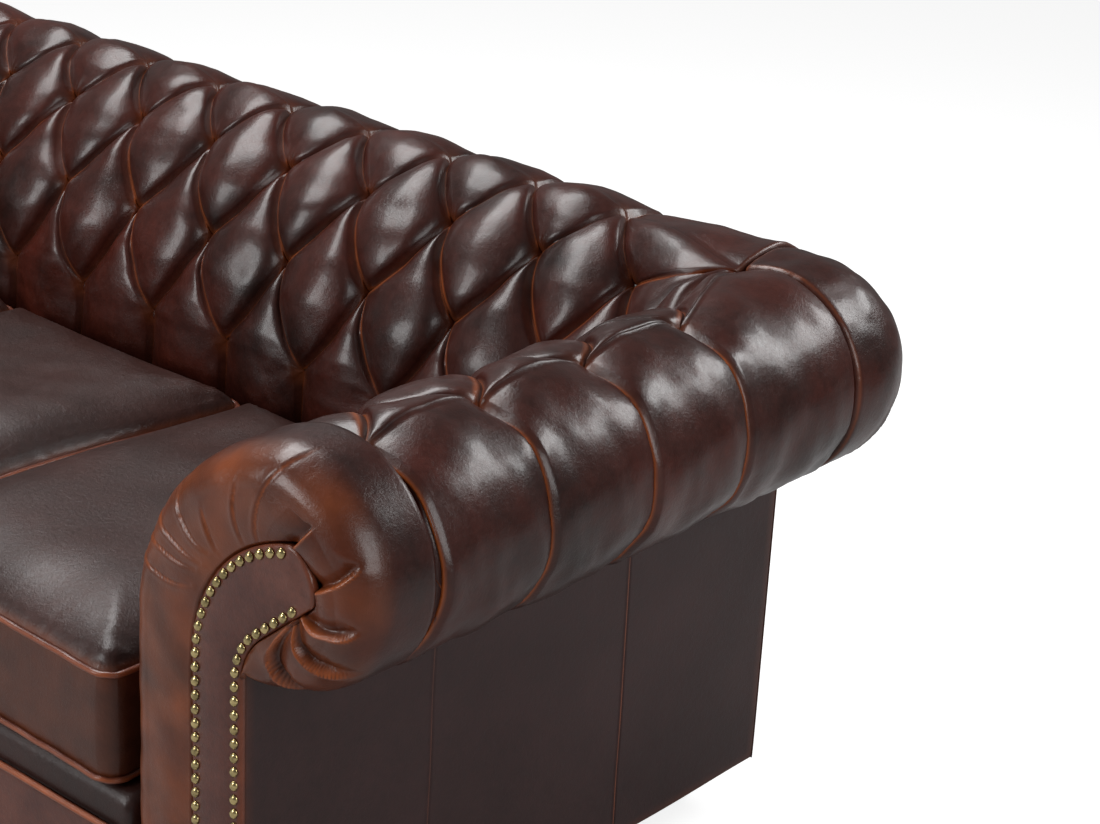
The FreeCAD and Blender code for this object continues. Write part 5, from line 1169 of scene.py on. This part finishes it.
def nail_places():
    """Nail centres in the arm's front view, read from the construction model."""
    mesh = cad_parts["facing_nails_right"].data
    found = []
    for vert in mesh.vertices:
        place = np.array([vert.co.x * 1000 - ROLL_X, vert.co.z * 1000 - ROLL_Z])
        for group in found:
            if np.hypot(*(group[0] - place)) < 11.5 and np.hypot(*(np.mean(group, axis=0) - place)) < 7.5:
                group.append(place)
                break
        else:
            found.append([place])
    return [(np.min(group, axis=0) + np.max(group, axis=0)) / 2 for group in found]


def build_nails():
    """Domed brass nail heads with a rolled rim."""
    base = [np.array([ROLL_X + x, NAIL_Y, ROLL_Z + z]) for x, z in nail_places()]
    axes = np.array([(0.0, 1.0, 0.0), (1.0, 0.0, 0.0), (0.0, 0.0, 1.0)])
    return joined(turned(NAIL_PROFILE, 18, place, *axes) for place in base)


# Flat leather panels

# Rubbed colour of each seam, by its place
SEAM_WEAR = {120.0: 0.75, -203.0: 0.22}


def soft_panel(low, high, axis, facing, radius, pitch, seams=(), wave=0.8, seed=1, hem=0.0):
    """Stretched leather on a frame: rounded rim, seams across it, and a slightly wavy face.

    axis is the thin direction, facing its sign; seams are places along the other level axis.
    """
    across = 1 if axis == 0 else 0
    thick = high[axis] - low[axis]

    def steps(start, finish, extra=()):
        """Even steps with finer ones in both rounded edges."""
        rounded = np.linspace(0, radius, 6)
        even = np.linspace(start, finish, int((finish - start) / pitch) + 2)
        return np.unique(np.concatenate([even, *extra, start + rounded, finish - rounded]))

    u = steps(low[across], high[across], [seam + np.linspace(-9, 9, 25) for seam in seams])
    v = steps(low[2], high[2])
    gu, gv = np.meshgrid(u, v)
    depth = np.minimum(np.minimum(gu - u[0], u[-1] - gu), np.minimum(gv - v[0], v[-1] - gv))
    rim = radius * (1 - np.sqrt(np.clip(1 - (1 - np.clip(depth / radius, 0, 1)) ** 2, 0, 1)))
    flat = np.stack([gu.ravel(), gv.ravel(), np.zeros(gu.size)], axis=1)
    inside = smooth_step(depth / 40).ravel()
    face = thick - rim.ravel() + wave * waves(flat, 210, seed) * inside
    wear = 0.12 * np.exp(-(depth.ravel() / 4.0) ** 2)
    for seam in seams:
        apart = gu.ravel() - seam - 1.5 * np.sin(gv.ravel() / 170 + seam)
        face -= 1.3 * np.exp(-((apart - 1.4) / 1.3) ** 2)
        face += 0.9 * np.exp(-((apart + 1.6) / 2.2) ** 2)
        wear = np.maximum(wear, SEAM_WEAR.get(seam, 0.3) * np.exp(-((apart + 0.4) / 1.3) ** 2))
    swing = hem * np.sin(gu.ravel() / 47 + seed) * np.exp(-(gv.ravel() - v[0]) / 14)
    front, back = np.empty((gu.size, 3)), np.empty((gu.size, 3))
    base = low[axis] if facing > 0 else high[axis]
    for points, place in ((front, np.maximum(face, 0.2) + swing), (back, np.zeros(gu.size))):
        points[:, across], points[:, 2], points[:, axis] = gu.ravel(), gv.ravel(), base + facing * place
    return np.vstack([front, back]), slab_faces(*gu.shape), np.concatenate([wear, wear])


# Seat cushions

CUSHION_SEAM = {"front": -471.5, "rear": 140.9, "half": 225.7, "low": 296.0, "high": 420.0}
CUSHION_MIDDLE = (CUSHION_SEAM["front"] + CUSHION_SEAM["rear"]) / 2
CUSHION_STEP = 467.0


def seam_outline(ends=10, sides=76, draw=5.0, corner=22.0):
    """Plan of the seam, sides drawn in between round corners; starts in the middle of a corner."""
    half = CUSHION_SEAM["half"]
    deep = (CUSHION_SEAM["rear"] - CUSHION_SEAM["front"]) / 2
    corners = [arc((sx * (half - corner), sy * (deep - corner)), corner, first, first + 90, 2 * ends + 1)
               for sx, sy, first in ((1, -1, -90), (1, 1, 0), (-1, 1, 90), (-1, -1, 180))]
    t = np.linspace(0, 1, sides + 1)[1:-1, None]
    points = []
    for index, inward in enumerate(((-1, 0), (0, -1), (1, 0), (0, 1))):
        this, following = corners[index], corners[(index + 1) % 4]
        middle = this[-1] + (following[0] - this[-1]) * t
        points += [this[ends:], middle + np.array(inward) * draw * (1 - (2 * t - 1) ** 2), following[:ends]]
    return np.vstack(points)


def seam_outward(loop):
    """Direction out of a closed outline at each of its points."""
    tangent = np.roll(loop, -1, axis=0) - np.roll(loop, 1, axis=0)
    outward = np.stack([tangent[:, 1], -tangent[:, 0]], axis=1)
    return outward / np.linalg.norm(outward, axis=1)[:, None]


def seam_height(y):
    """The upper seam sinks a little towards the back, where the cushion is tucked in."""
    return CUSHION_SEAM["high"] - 14.0 * smooth_step((y + 40) / 330)


def coons(loop):
    """Grid that fills a closed outline of four equal sides."""
    count = len(loop) // 4
    sides = [np.vstack([loop[i * count:(i + 1) * count], loop[(i + 1) * count % len(loop)]]) for i in range(4)]
    t = np.linspace(0, 1, count + 1)
    right, top, left, bottom = sides[0], sides[1][::-1], sides[2][::-1], sides[3]
    a, b = t[None, :, None], t[:, None, None]
    return ((1 - b) * bottom[None] + b * top[None] + (1 - a) * left[:, None] + a * right[:, None]
            - (1 - a) * (1 - b) * bottom[0] - a * (1 - b) * bottom[-1] - (1 - a) * b * top[0] - a * b * top[-1])


def build_cushion(place, seed):
    """Crowned cushion with a boxed side, drawn in at the welts and creased at its corners."""
    loop = seam_outline()
    plan = coons(loop).reshape(-1, 2)
    size = int(round(math.sqrt(len(plan))))
    apart = np.linalg.norm(plan[:, None, :] - loop[None, :, :], axis=2)
    depth, nearest = np.min(apart, axis=1), np.argmin(apart, axis=1)
    shift = np.array([place * CUSHION_STEP, CUSHION_MIDDLE])
    spread = np.column_stack([plan, np.full(len(plan), 37.0 * seed)])
    # Crown, and the dip that sitting leaves a little behind the middle
    top = 46.0 * (1 - (1 - np.clip(depth / 165, 0, 1)) ** 4.2)
    top += 6.0 * np.sqrt(np.clip(depth / 12, 0, 1)) * np.exp(-depth / 40)
    top += smooth_step(depth / 60) * (1.8 * waves(spread, 170, seed) + 0.8 * waves(spread, 70, seed + 1))
    top -= 3.0 * np.exp(-((plan[:, 0] / 150) ** 2 + ((plan[:, 1] - 40) / 160) ** 2))
    wear = 0.25 * np.exp(-(depth / 4.0) ** 2)
    rng = np.random.default_rng(seed)
    for sx, sy in ((-1, -1), (-1, 1), (1, -1), (1, 1)):
        offset = (plan - (sx * (CUSHION_SEAM["half"] - 8), sy * 298.0)) * (-sx, -sy)
        far = np.linalg.norm(offset, axis=1)
        angle = np.arctan2(offset[:, 1], offset[:, 0])
        ripple = sum(np.sin(angle * k + rng.uniform(0, 6)) for k in (7, 11, 16)) / 3
        top += 1.6 * ripple * np.exp(-far / 55) * smooth_step(far / 14)
        cross = offset @ np.array([0.7071, 0.7071])
        top += 1.1 * np.sin(cross / 4.6 + rng.uniform(0, 6)) * np.exp(-(far / 46) ** 2) * smooth_step(far / 10)
    run = np.arange(len(loop)) / len(loop)
    pucker = sum(np.sin(2 * math.pi * run * k + rng.uniform(0, 6)) for k in (67, 89, 127, 151)) / 2.2
    top += 0.7 * pucker[nearest] * np.exp(-depth / 16) * smooth_step(depth / 3)
    over = np.column_stack([plan + shift, seam_height(plan[:, 1]) + np.maximum(top, 0)])
    under = np.column_stack([plan + shift, CUSHION_SEAM["low"] - 5.7 * smooth_step(depth / 28)])
    # Boxing
    outward = seam_outward(loop)
    rows = []
    levels = np.concatenate([[0, .015, .035, .06, .1], np.linspace(.16, .84, 14), [.9, .94, .965, .985, 1]])
    for t in levels:
        bulge = 3.4 * (1 - (2 * t - 1) ** 4) - 1.2 * (math.exp(-t / .03) + math.exp(-(1 - t) / .03))
        level = CUSHION_SEAM["low"] + (seam_height(loop[:, 1]) - CUSHION_SEAM["low"]) * t
        middle = math.sin(math.pi * t)
        crumple = 0.9 * waves(np.column_stack([loop, level]), 95, seed + 5) * middle
        crumple += 0.5 * pucker * (math.exp(-t / .12) + math.exp(-(1 - t) / .12)) * middle ** .3
        side = loop + outward * (max(bulge, 0) + crumple)[:, None] + shift
        rows.append(np.column_stack([side, level]))
    boxing_wear = np.repeat(0.12 + 0.2 * np.exp(-np.minimum(levels, 1 - levels) / 0.05), len(loop))
    faces = grid_faces(size, size) + grid_faces(size, size, len(over))
    faces += ring_faces(len(levels), len(loop), 2 * len(over))
    return np.vstack([over, under, *rows]), faces, np.concatenate([wear, wear, boxing_wear])


def build_welts(place, seed):
    """Piping round both seams of a cushion."""
    loop = seam_outline()
    outward = seam_outward(loop)
    rng = np.random.default_rng(seed)
    run = np.arange(len(loop)) / len(loop)
    flat = loop + outward * WELT_OUT + (place * CUSHION_STEP, CUSHION_MIDDLE)
    parts, wear = [], []
    for seam in (CUSHION_SEAM["low"], seam_height(loop[:, 1])):
        wander = sum(np.sin(2 * math.pi * run * k + rng.uniform(0, 6)) for k in (9, 23, 41)) / 3
        points, faces, turn = tube(np.column_stack([flat, seam + 0.8 * wander]),
                                   np.column_stack([outward, np.zeros(len(loop))]), WELT_RADIUS, closed=True)
        parts.append((points, faces))
        # The upper outer side of each welt gets the worn colour with a narrow cosine falloff: partly rubbing,
        # partly a painted highlight.
        mark_strength = 0.8 + 0.2 * np.repeat(wander, len(turn) // len(wander))
        wear.append(0.6 * np.maximum(np.cos(turn - 0.3), 0) ** 3 * mark_strength)
    return (*joined(parts), np.concatenate(wear))


def build_border_piping():
    """Piping along the top of the front border."""
    low, high = span("border_piping")
    x = np.linspace(low[0], high[0], 420)
    _, y, z = (low + high) / 2
    centres = np.column_stack([x, np.full(len(x), y), z + 0.5 * np.sin(x / 37)])
    outward = np.tile((0.0, -1.0, 0.0), (len(x), 1))
    points, faces, turn = tube(centres, outward, (high[2] - low[2]) / 2, closed=False)
    sides = len(points) // len(x)
    faces += [tuple(range(sides)), tuple(range(len(points) - sides, len(points)))]
    # The upper front side of the piping gets the worn colour with a cosine falloff: partly rubbing, partly a
    # painted highlight.
    return points, faces, 0.8 * np.maximum(np.cos(turn - 0.5), 0)


def build_buttons(run, to_space, both_sides):
    """Domed leather-covered buttons, 22 mm across."""
    parts = []
    for place, facing in run_buttons(run):
        axis = to_space(place + facing) - to_space(place)
        side = np.cross(axis, (0.3, 0.2, 1.0))
        side /= np.linalg.norm(side)
        base = to_space(place - facing * 3.0)
        parts.append(turned(BUTTON_PROFILE, 16, base, axis, side, np.cross(axis, side)))
    if both_sides:
        parts += [(points * (-1, 1, 1), faces) for points, faces in parts]
    return joined(parts)


# Operators

class SofaOperator(bpy.types.Operator):
    bl_options = {"REGISTER", "UNDO"}

    def execute(self, context):
        self.build(context.scene)
        return {"FINISHED"}


class SOFA_OT_materials(SofaOperator):
    """Finishes of leather, timber, webbing and metal"""
    bl_idname = "sofa.materials"
    bl_label = "Materials"

    def build(self, scene):
        make_materials(scene.sofa_colours)


class SOFA_OT_back(SofaOperator):
    """Buttoned back"""
    bl_idname = "sofa.back"
    bl_label = "Buttoned back"

    def build(self, scene):
        sizes = padding_sizes(scene.sofa_padding)
        run = back_run()
        build_run(run, sizes)
        points, wear = roughen(run, sizes)
        soft_piece("tufted_back_leather", (to_back(points), run.faces, wear), "tufted", "tufted_back",
                   padded=0.85, merge=0.02, close=close_behind(run, to_back))
        soft_piece("back_buttons_leather", build_buttons(run, to_back, both_sides=False), "button",
                   "back_buttons", merge=0.02)


class SOFA_OT_arms(SofaOperator):
    """Buttoned arms with their gathered fronts"""
    bl_idname = "sofa.arms"
    bl_label = "Buttoned arms"

    def build(self, scene):
        sizes = padding_sizes(scene.sofa_padding)
        run = arm_run()
        build_run(run, sizes)
        points, wear = roughen(run, sizes)
        front, front_wear, shape = build_arm_front(run)
        faces = run.faces + grid_faces(*shape, len(points))
        arm = mesh_object("tufted_arm_leather_right", to_arm(np.vstack([points, front])), faces,
                          np.concatenate([wear, front_wear]), merge=0.3, close=close_behind(run, to_arm))
        dress_pair(arm, "tufted", ("tufted_arm", "arm_front"), padded=0.9)
        soft_piece("arm_buttons_leather", build_buttons(run, to_arm, both_sides=True), "button",
                   "arm_buttons", merge=0.02)


class SOFA_OT_corners(SofaOperator):
    """Corners between the arms and the back"""
    bl_idname = "sofa.corners"
    bl_label = "Corner rolls"

    def build(self, scene):
        for side, sign in (("left", -1), ("right", 1)):
            build_corner(f"corner_roll_{side}", f"corner_leather_{side}", sign)


class SOFA_OT_facings(SofaOperator):
    """Arm facings and their brass nails"""
    bl_idname = "sofa.facings"
    bl_label = "Facings and nails"

    def build(self, scene):
        dress_pair(mesh_object("facing_leather_right", *build_facing()), "front", ("facing",), padded=1.0)
        dress_pair(mesh_object("brass_nails_right", *build_nails()), "brass", ("facing_nails",), "brass_nails")


class SOFA_OT_panels(SofaOperator):
    """Plain outside leather, front border and deck"""
    bl_idname = "sofa.panels"
    bl_label = "Outside leather and deck"

    def build(self, scene):
        for side, sign in (("left", -1), ("right", 1)):
            low, high = span(f"outside_arm_{side}")
            # The leather runs on over the arm's post to the facing
            low[1] = FACING_BACK + 0.2
            panel = soft_panel(low, high, 0, sign, 2.6, 14.0, tuple(SEAM_WEAR), 1.0, 3, 0.9)
            soft_piece(f"outside_arm_leather_{side}", panel, "panel", f"outside_arm_{side}")
        panel = soft_panel(*span("outside_back"), 1, 1, 2.6, 16.0, (-480.0, 0.0, 480.0), 1.2, 5, 0.9)
        soft_piece("outside_back_leather", panel, "panel", "outside_back")
        border = soft_panel(*span("front_border"), 1, -1, 8.0, 12.0, (-238.0, 238.0), 1.0, 8, 0.5)
        soft_piece("front_border_leather", border, "front", "front_border")
        soft_piece("border_piping_leather", build_border_piping(), "front", "border_piping")
        deck = remeshed("seat_deck", "seat_deck_leather", 0.007)
        dress(deck, "sofa", MATERIALS["seat"], "seat_deck", slot="leather", padded=0.9)


class SOFA_OT_cushions(SofaOperator):
    """Three loose seat cushions with piped seams"""
    bl_idname = "sofa.cushions"
    bl_label = "Seat cushions"

    def build(self, scene):
        for seed, (side, place) in enumerate((("left", -1), ("middle", 0), ("right", 1)), start=11):
            how = {"body": f"cushion_{side}", "slot": "cushion_leather"}
            soft_piece(f"seat_cushion_leather_{side}", build_cushion(place, seed), "seat",
                       f"seat_cushion_{side}", padded=0.8, merge=0.05, **how)
            soft_piece(f"cushion_welts_{side}", build_welts(place, seed + 20), "front",
                       f"cushion_piping_{side}", **how)


BOTH = ("left", "right")
NODE_FINISH = {
    "beech": ("front_seat_rail", "rear_seat_rail", "corner_blocks", "back_inner_rail", "back_outer_rail",
              *(f"{name}_{side}" for side in BOTH
                for name in ("side_rail", "seat_strut", "arm_front_post", "arm_rear_post", "back_post",
                             "back_upright", "arm_inner_rail", "arm_outer_rail"))),
    "plywood": ("arm_roll_former_left", "arm_roll_former_right", "back_roll_former"),
    "webbing": ("seat_straps", "cross_straps", "back_webbing", "arm_webbing"),
    "foot": tuple(f"foot_{end}_{side}" for end in ("front", "rear") for side in BOTH),
    "steel": ("foot_bolts",),
    "nylon": ("foot_glides",),
    "cloth": ("dust_cover",),
}


class SOFA_OT_nodes(SofaOperator):
    """Finishes of the construction nodes that stay"""
    bl_idname = "sofa.nodes"
    bl_label = "Frame, webbing and feet"

    def build(self, scene):
        for finish, names in NODE_FINISH.items():
            for name in names:
                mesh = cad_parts[name].data
                mesh.materials.clear()
                mesh.materials.append(MATERIALS[finish])
        for name in NODE_FINISH["foot"]:
            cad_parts[name].data.shade_smooth()


# Softboxes: name, place, what each is turned to, size and power
LAMPS = (("softbox_above", (-0.9, 0.0, 2.8), (0.2, 0.0, 0.5), (2.2, 1.1), 72),
         ("softbox_rear", (1.9, 2.4, 2.2), (0.5, 0.0, 0.6), (1.6, 0.7), 38),
         ("softbox_side", (3.4, -0.6, 1.6), (0.9, 0.0, 0.4), (1.2, 1.6), 30),
         ("softbox_front", (-0.9, -3.1, 1.7), (0.2, 0.1, 0.5), (1.3, 1.5), 52))


def build_floor(colour):
    """Matt white paper: plain for the lamps, and bright to the camera so that only the shadow shows on it."""
    bpy.ops.object.select_all(action="DESELECT")
    bpy.ops.mesh.primitive_plane_add(size=40, location=(0, 0, 0))
    floor = bpy.context.object
    floor.name = "studio_floor"
    material, tree = new_material("matt_white_floor")
    path = node(tree, "ShaderNodeLightPath").outputs["Is Camera Ray"]
    glow = node(tree, "ShaderNodeMapRange", [("Value", path)], To_Min=0.0, To_Max=0.8)
    shader = node(tree, "ShaderNodeBsdfPrincipled", [("Emission Strength", glow)], Base_Color=colour,
                  Roughness=0.95, Specular_IOR_Level=0.0, Emission_Color=grey(1.0))
    node(tree, "ShaderNodeOutputMaterial", [("Surface", shader)])
    floor.data.materials.append(material)


def build_world():
    """White studio air: dim as a light, and plain white to the camera."""
    world = bpy.data.worlds.new("studio_air")
    world.use_nodes = True
    tree = world.node_tree
    tree.nodes.clear()
    path = node(tree, "ShaderNodeLightPath").outputs["Is Camera Ray"]
    strength = node(tree, "ShaderNodeMapRange", [("Value", path)], To_Min=0.17, To_Max=1.0)
    background = node(tree, "ShaderNodeBackground", [("Strength", strength)], Color=grey(1.0))
    node(tree, "ShaderNodeOutputWorld", [("Surface", background)])
    return world


def build_camera(stage):
    data = bpy.data.cameras.new("camera")
    data.sensor_width = 36
    data.lens = stage.lens
    data.clip_end = 100
    camera = bpy.data.objects.new("camera", data)
    azimuth, elevation, lean = (math.radians(angle) for angle in (stage.azimuth, stage.elevation, stage.roll))
    back = Vector((math.sin(azimuth) * math.cos(elevation), -math.cos(azimuth) * math.cos(elevation),
                   math.sin(elevation)))
    right = (-back).cross(Vector((0, 0, 1))).normalized()
    up = right.cross(-back)
    x_axis = math.cos(lean) * right + math.sin(lean) * up
    y_axis = -math.sin(lean) * right + math.cos(lean) * up
    turn = Matrix((x_axis, y_axis, back)).transposed().to_4x4()
    camera.matrix_world = Matrix.Translation(stage.place) @ turn
    return camera


class SOFA_OT_stage(SofaOperator):
    """Floor, lamps, world and camera"""
    bl_idname = "sofa.stage"
    bl_label = "Stage"

    def build(self, scene):
        build_floor(scene.sofa_colours.floor)
        scene.world = build_world()
        for name, place, aim, size, power in LAMPS:
            light = bpy.data.lights.new(name, "AREA")
            light.shape = "RECTANGLE"
            light.size, light.size_y = size
            light.energy = power
            lamp = bpy.data.objects.new(name, light)
            lamp.location = place
            lamp.rotation_euler = (Vector(aim) - Vector(place)).to_track_quat("-Z", "Y").to_euler()
            scene.collection.objects.link(lamp)
        scene.camera = build_camera(scene.sofa_stage)
        scene.collection.objects.link(scene.camera)
        scene.view_settings.view_transform = "Standard"


class SOFA_PT_panel(bpy.types.Panel):
    bl_label = "Buttoned sofa"
    bl_idname = "SOFA_PT_panel"
    bl_space_type = "VIEW_3D"
    bl_region_type = "UI"
    bl_category = "Sofa"

    def draw(self, context):
        layout = self.layout
        for group in (context.scene.sofa_padding, context.scene.sofa_colours, context.scene.sofa_stage):
            box = layout.box()
            for name in group.bl_rna.properties.keys():
                if name not in ("rna_type", "name"):
                    box.prop(group, name)
        for operator in OPERATORS:
            layout.operator(operator.bl_idname)


OPERATORS = (SOFA_OT_materials, SOFA_OT_back, SOFA_OT_arms, SOFA_OT_corners, SOFA_OT_facings, SOFA_OT_panels,
             SOFA_OT_cushions, SOFA_OT_nodes, SOFA_OT_stage)
GROUPS = (SOFA_PG_padding, SOFA_PG_colours, SOFA_PG_stage)


def register():
    for cls in (*GROUPS, *OPERATORS, SOFA_PT_panel):
        bpy.utils.register_class(cls)
    bpy.types.Scene.sofa_padding = PointerProperty(type=SOFA_PG_padding)
    bpy.types.Scene.sofa_colours = PointerProperty(type=SOFA_PG_colours)
    bpy.types.Scene.sofa_stage = PointerProperty(type=SOFA_PG_stage)


def unregister():
    for name in ("sofa_padding", "sofa_colours", "sofa_stage"):
        delattr(bpy.types.Scene, name)
    for cls in (SOFA_PT_panel, *OPERATORS[::-1], *GROUPS[::-1]):
        bpy.utils.unregister_class(cls)


def main():
    register()
    for operator in OPERATORS:
        module, name = operator.bl_idname.split(".")
        getattr(getattr(bpy.ops, module), name)()


if __name__ == "__main__":
    main()
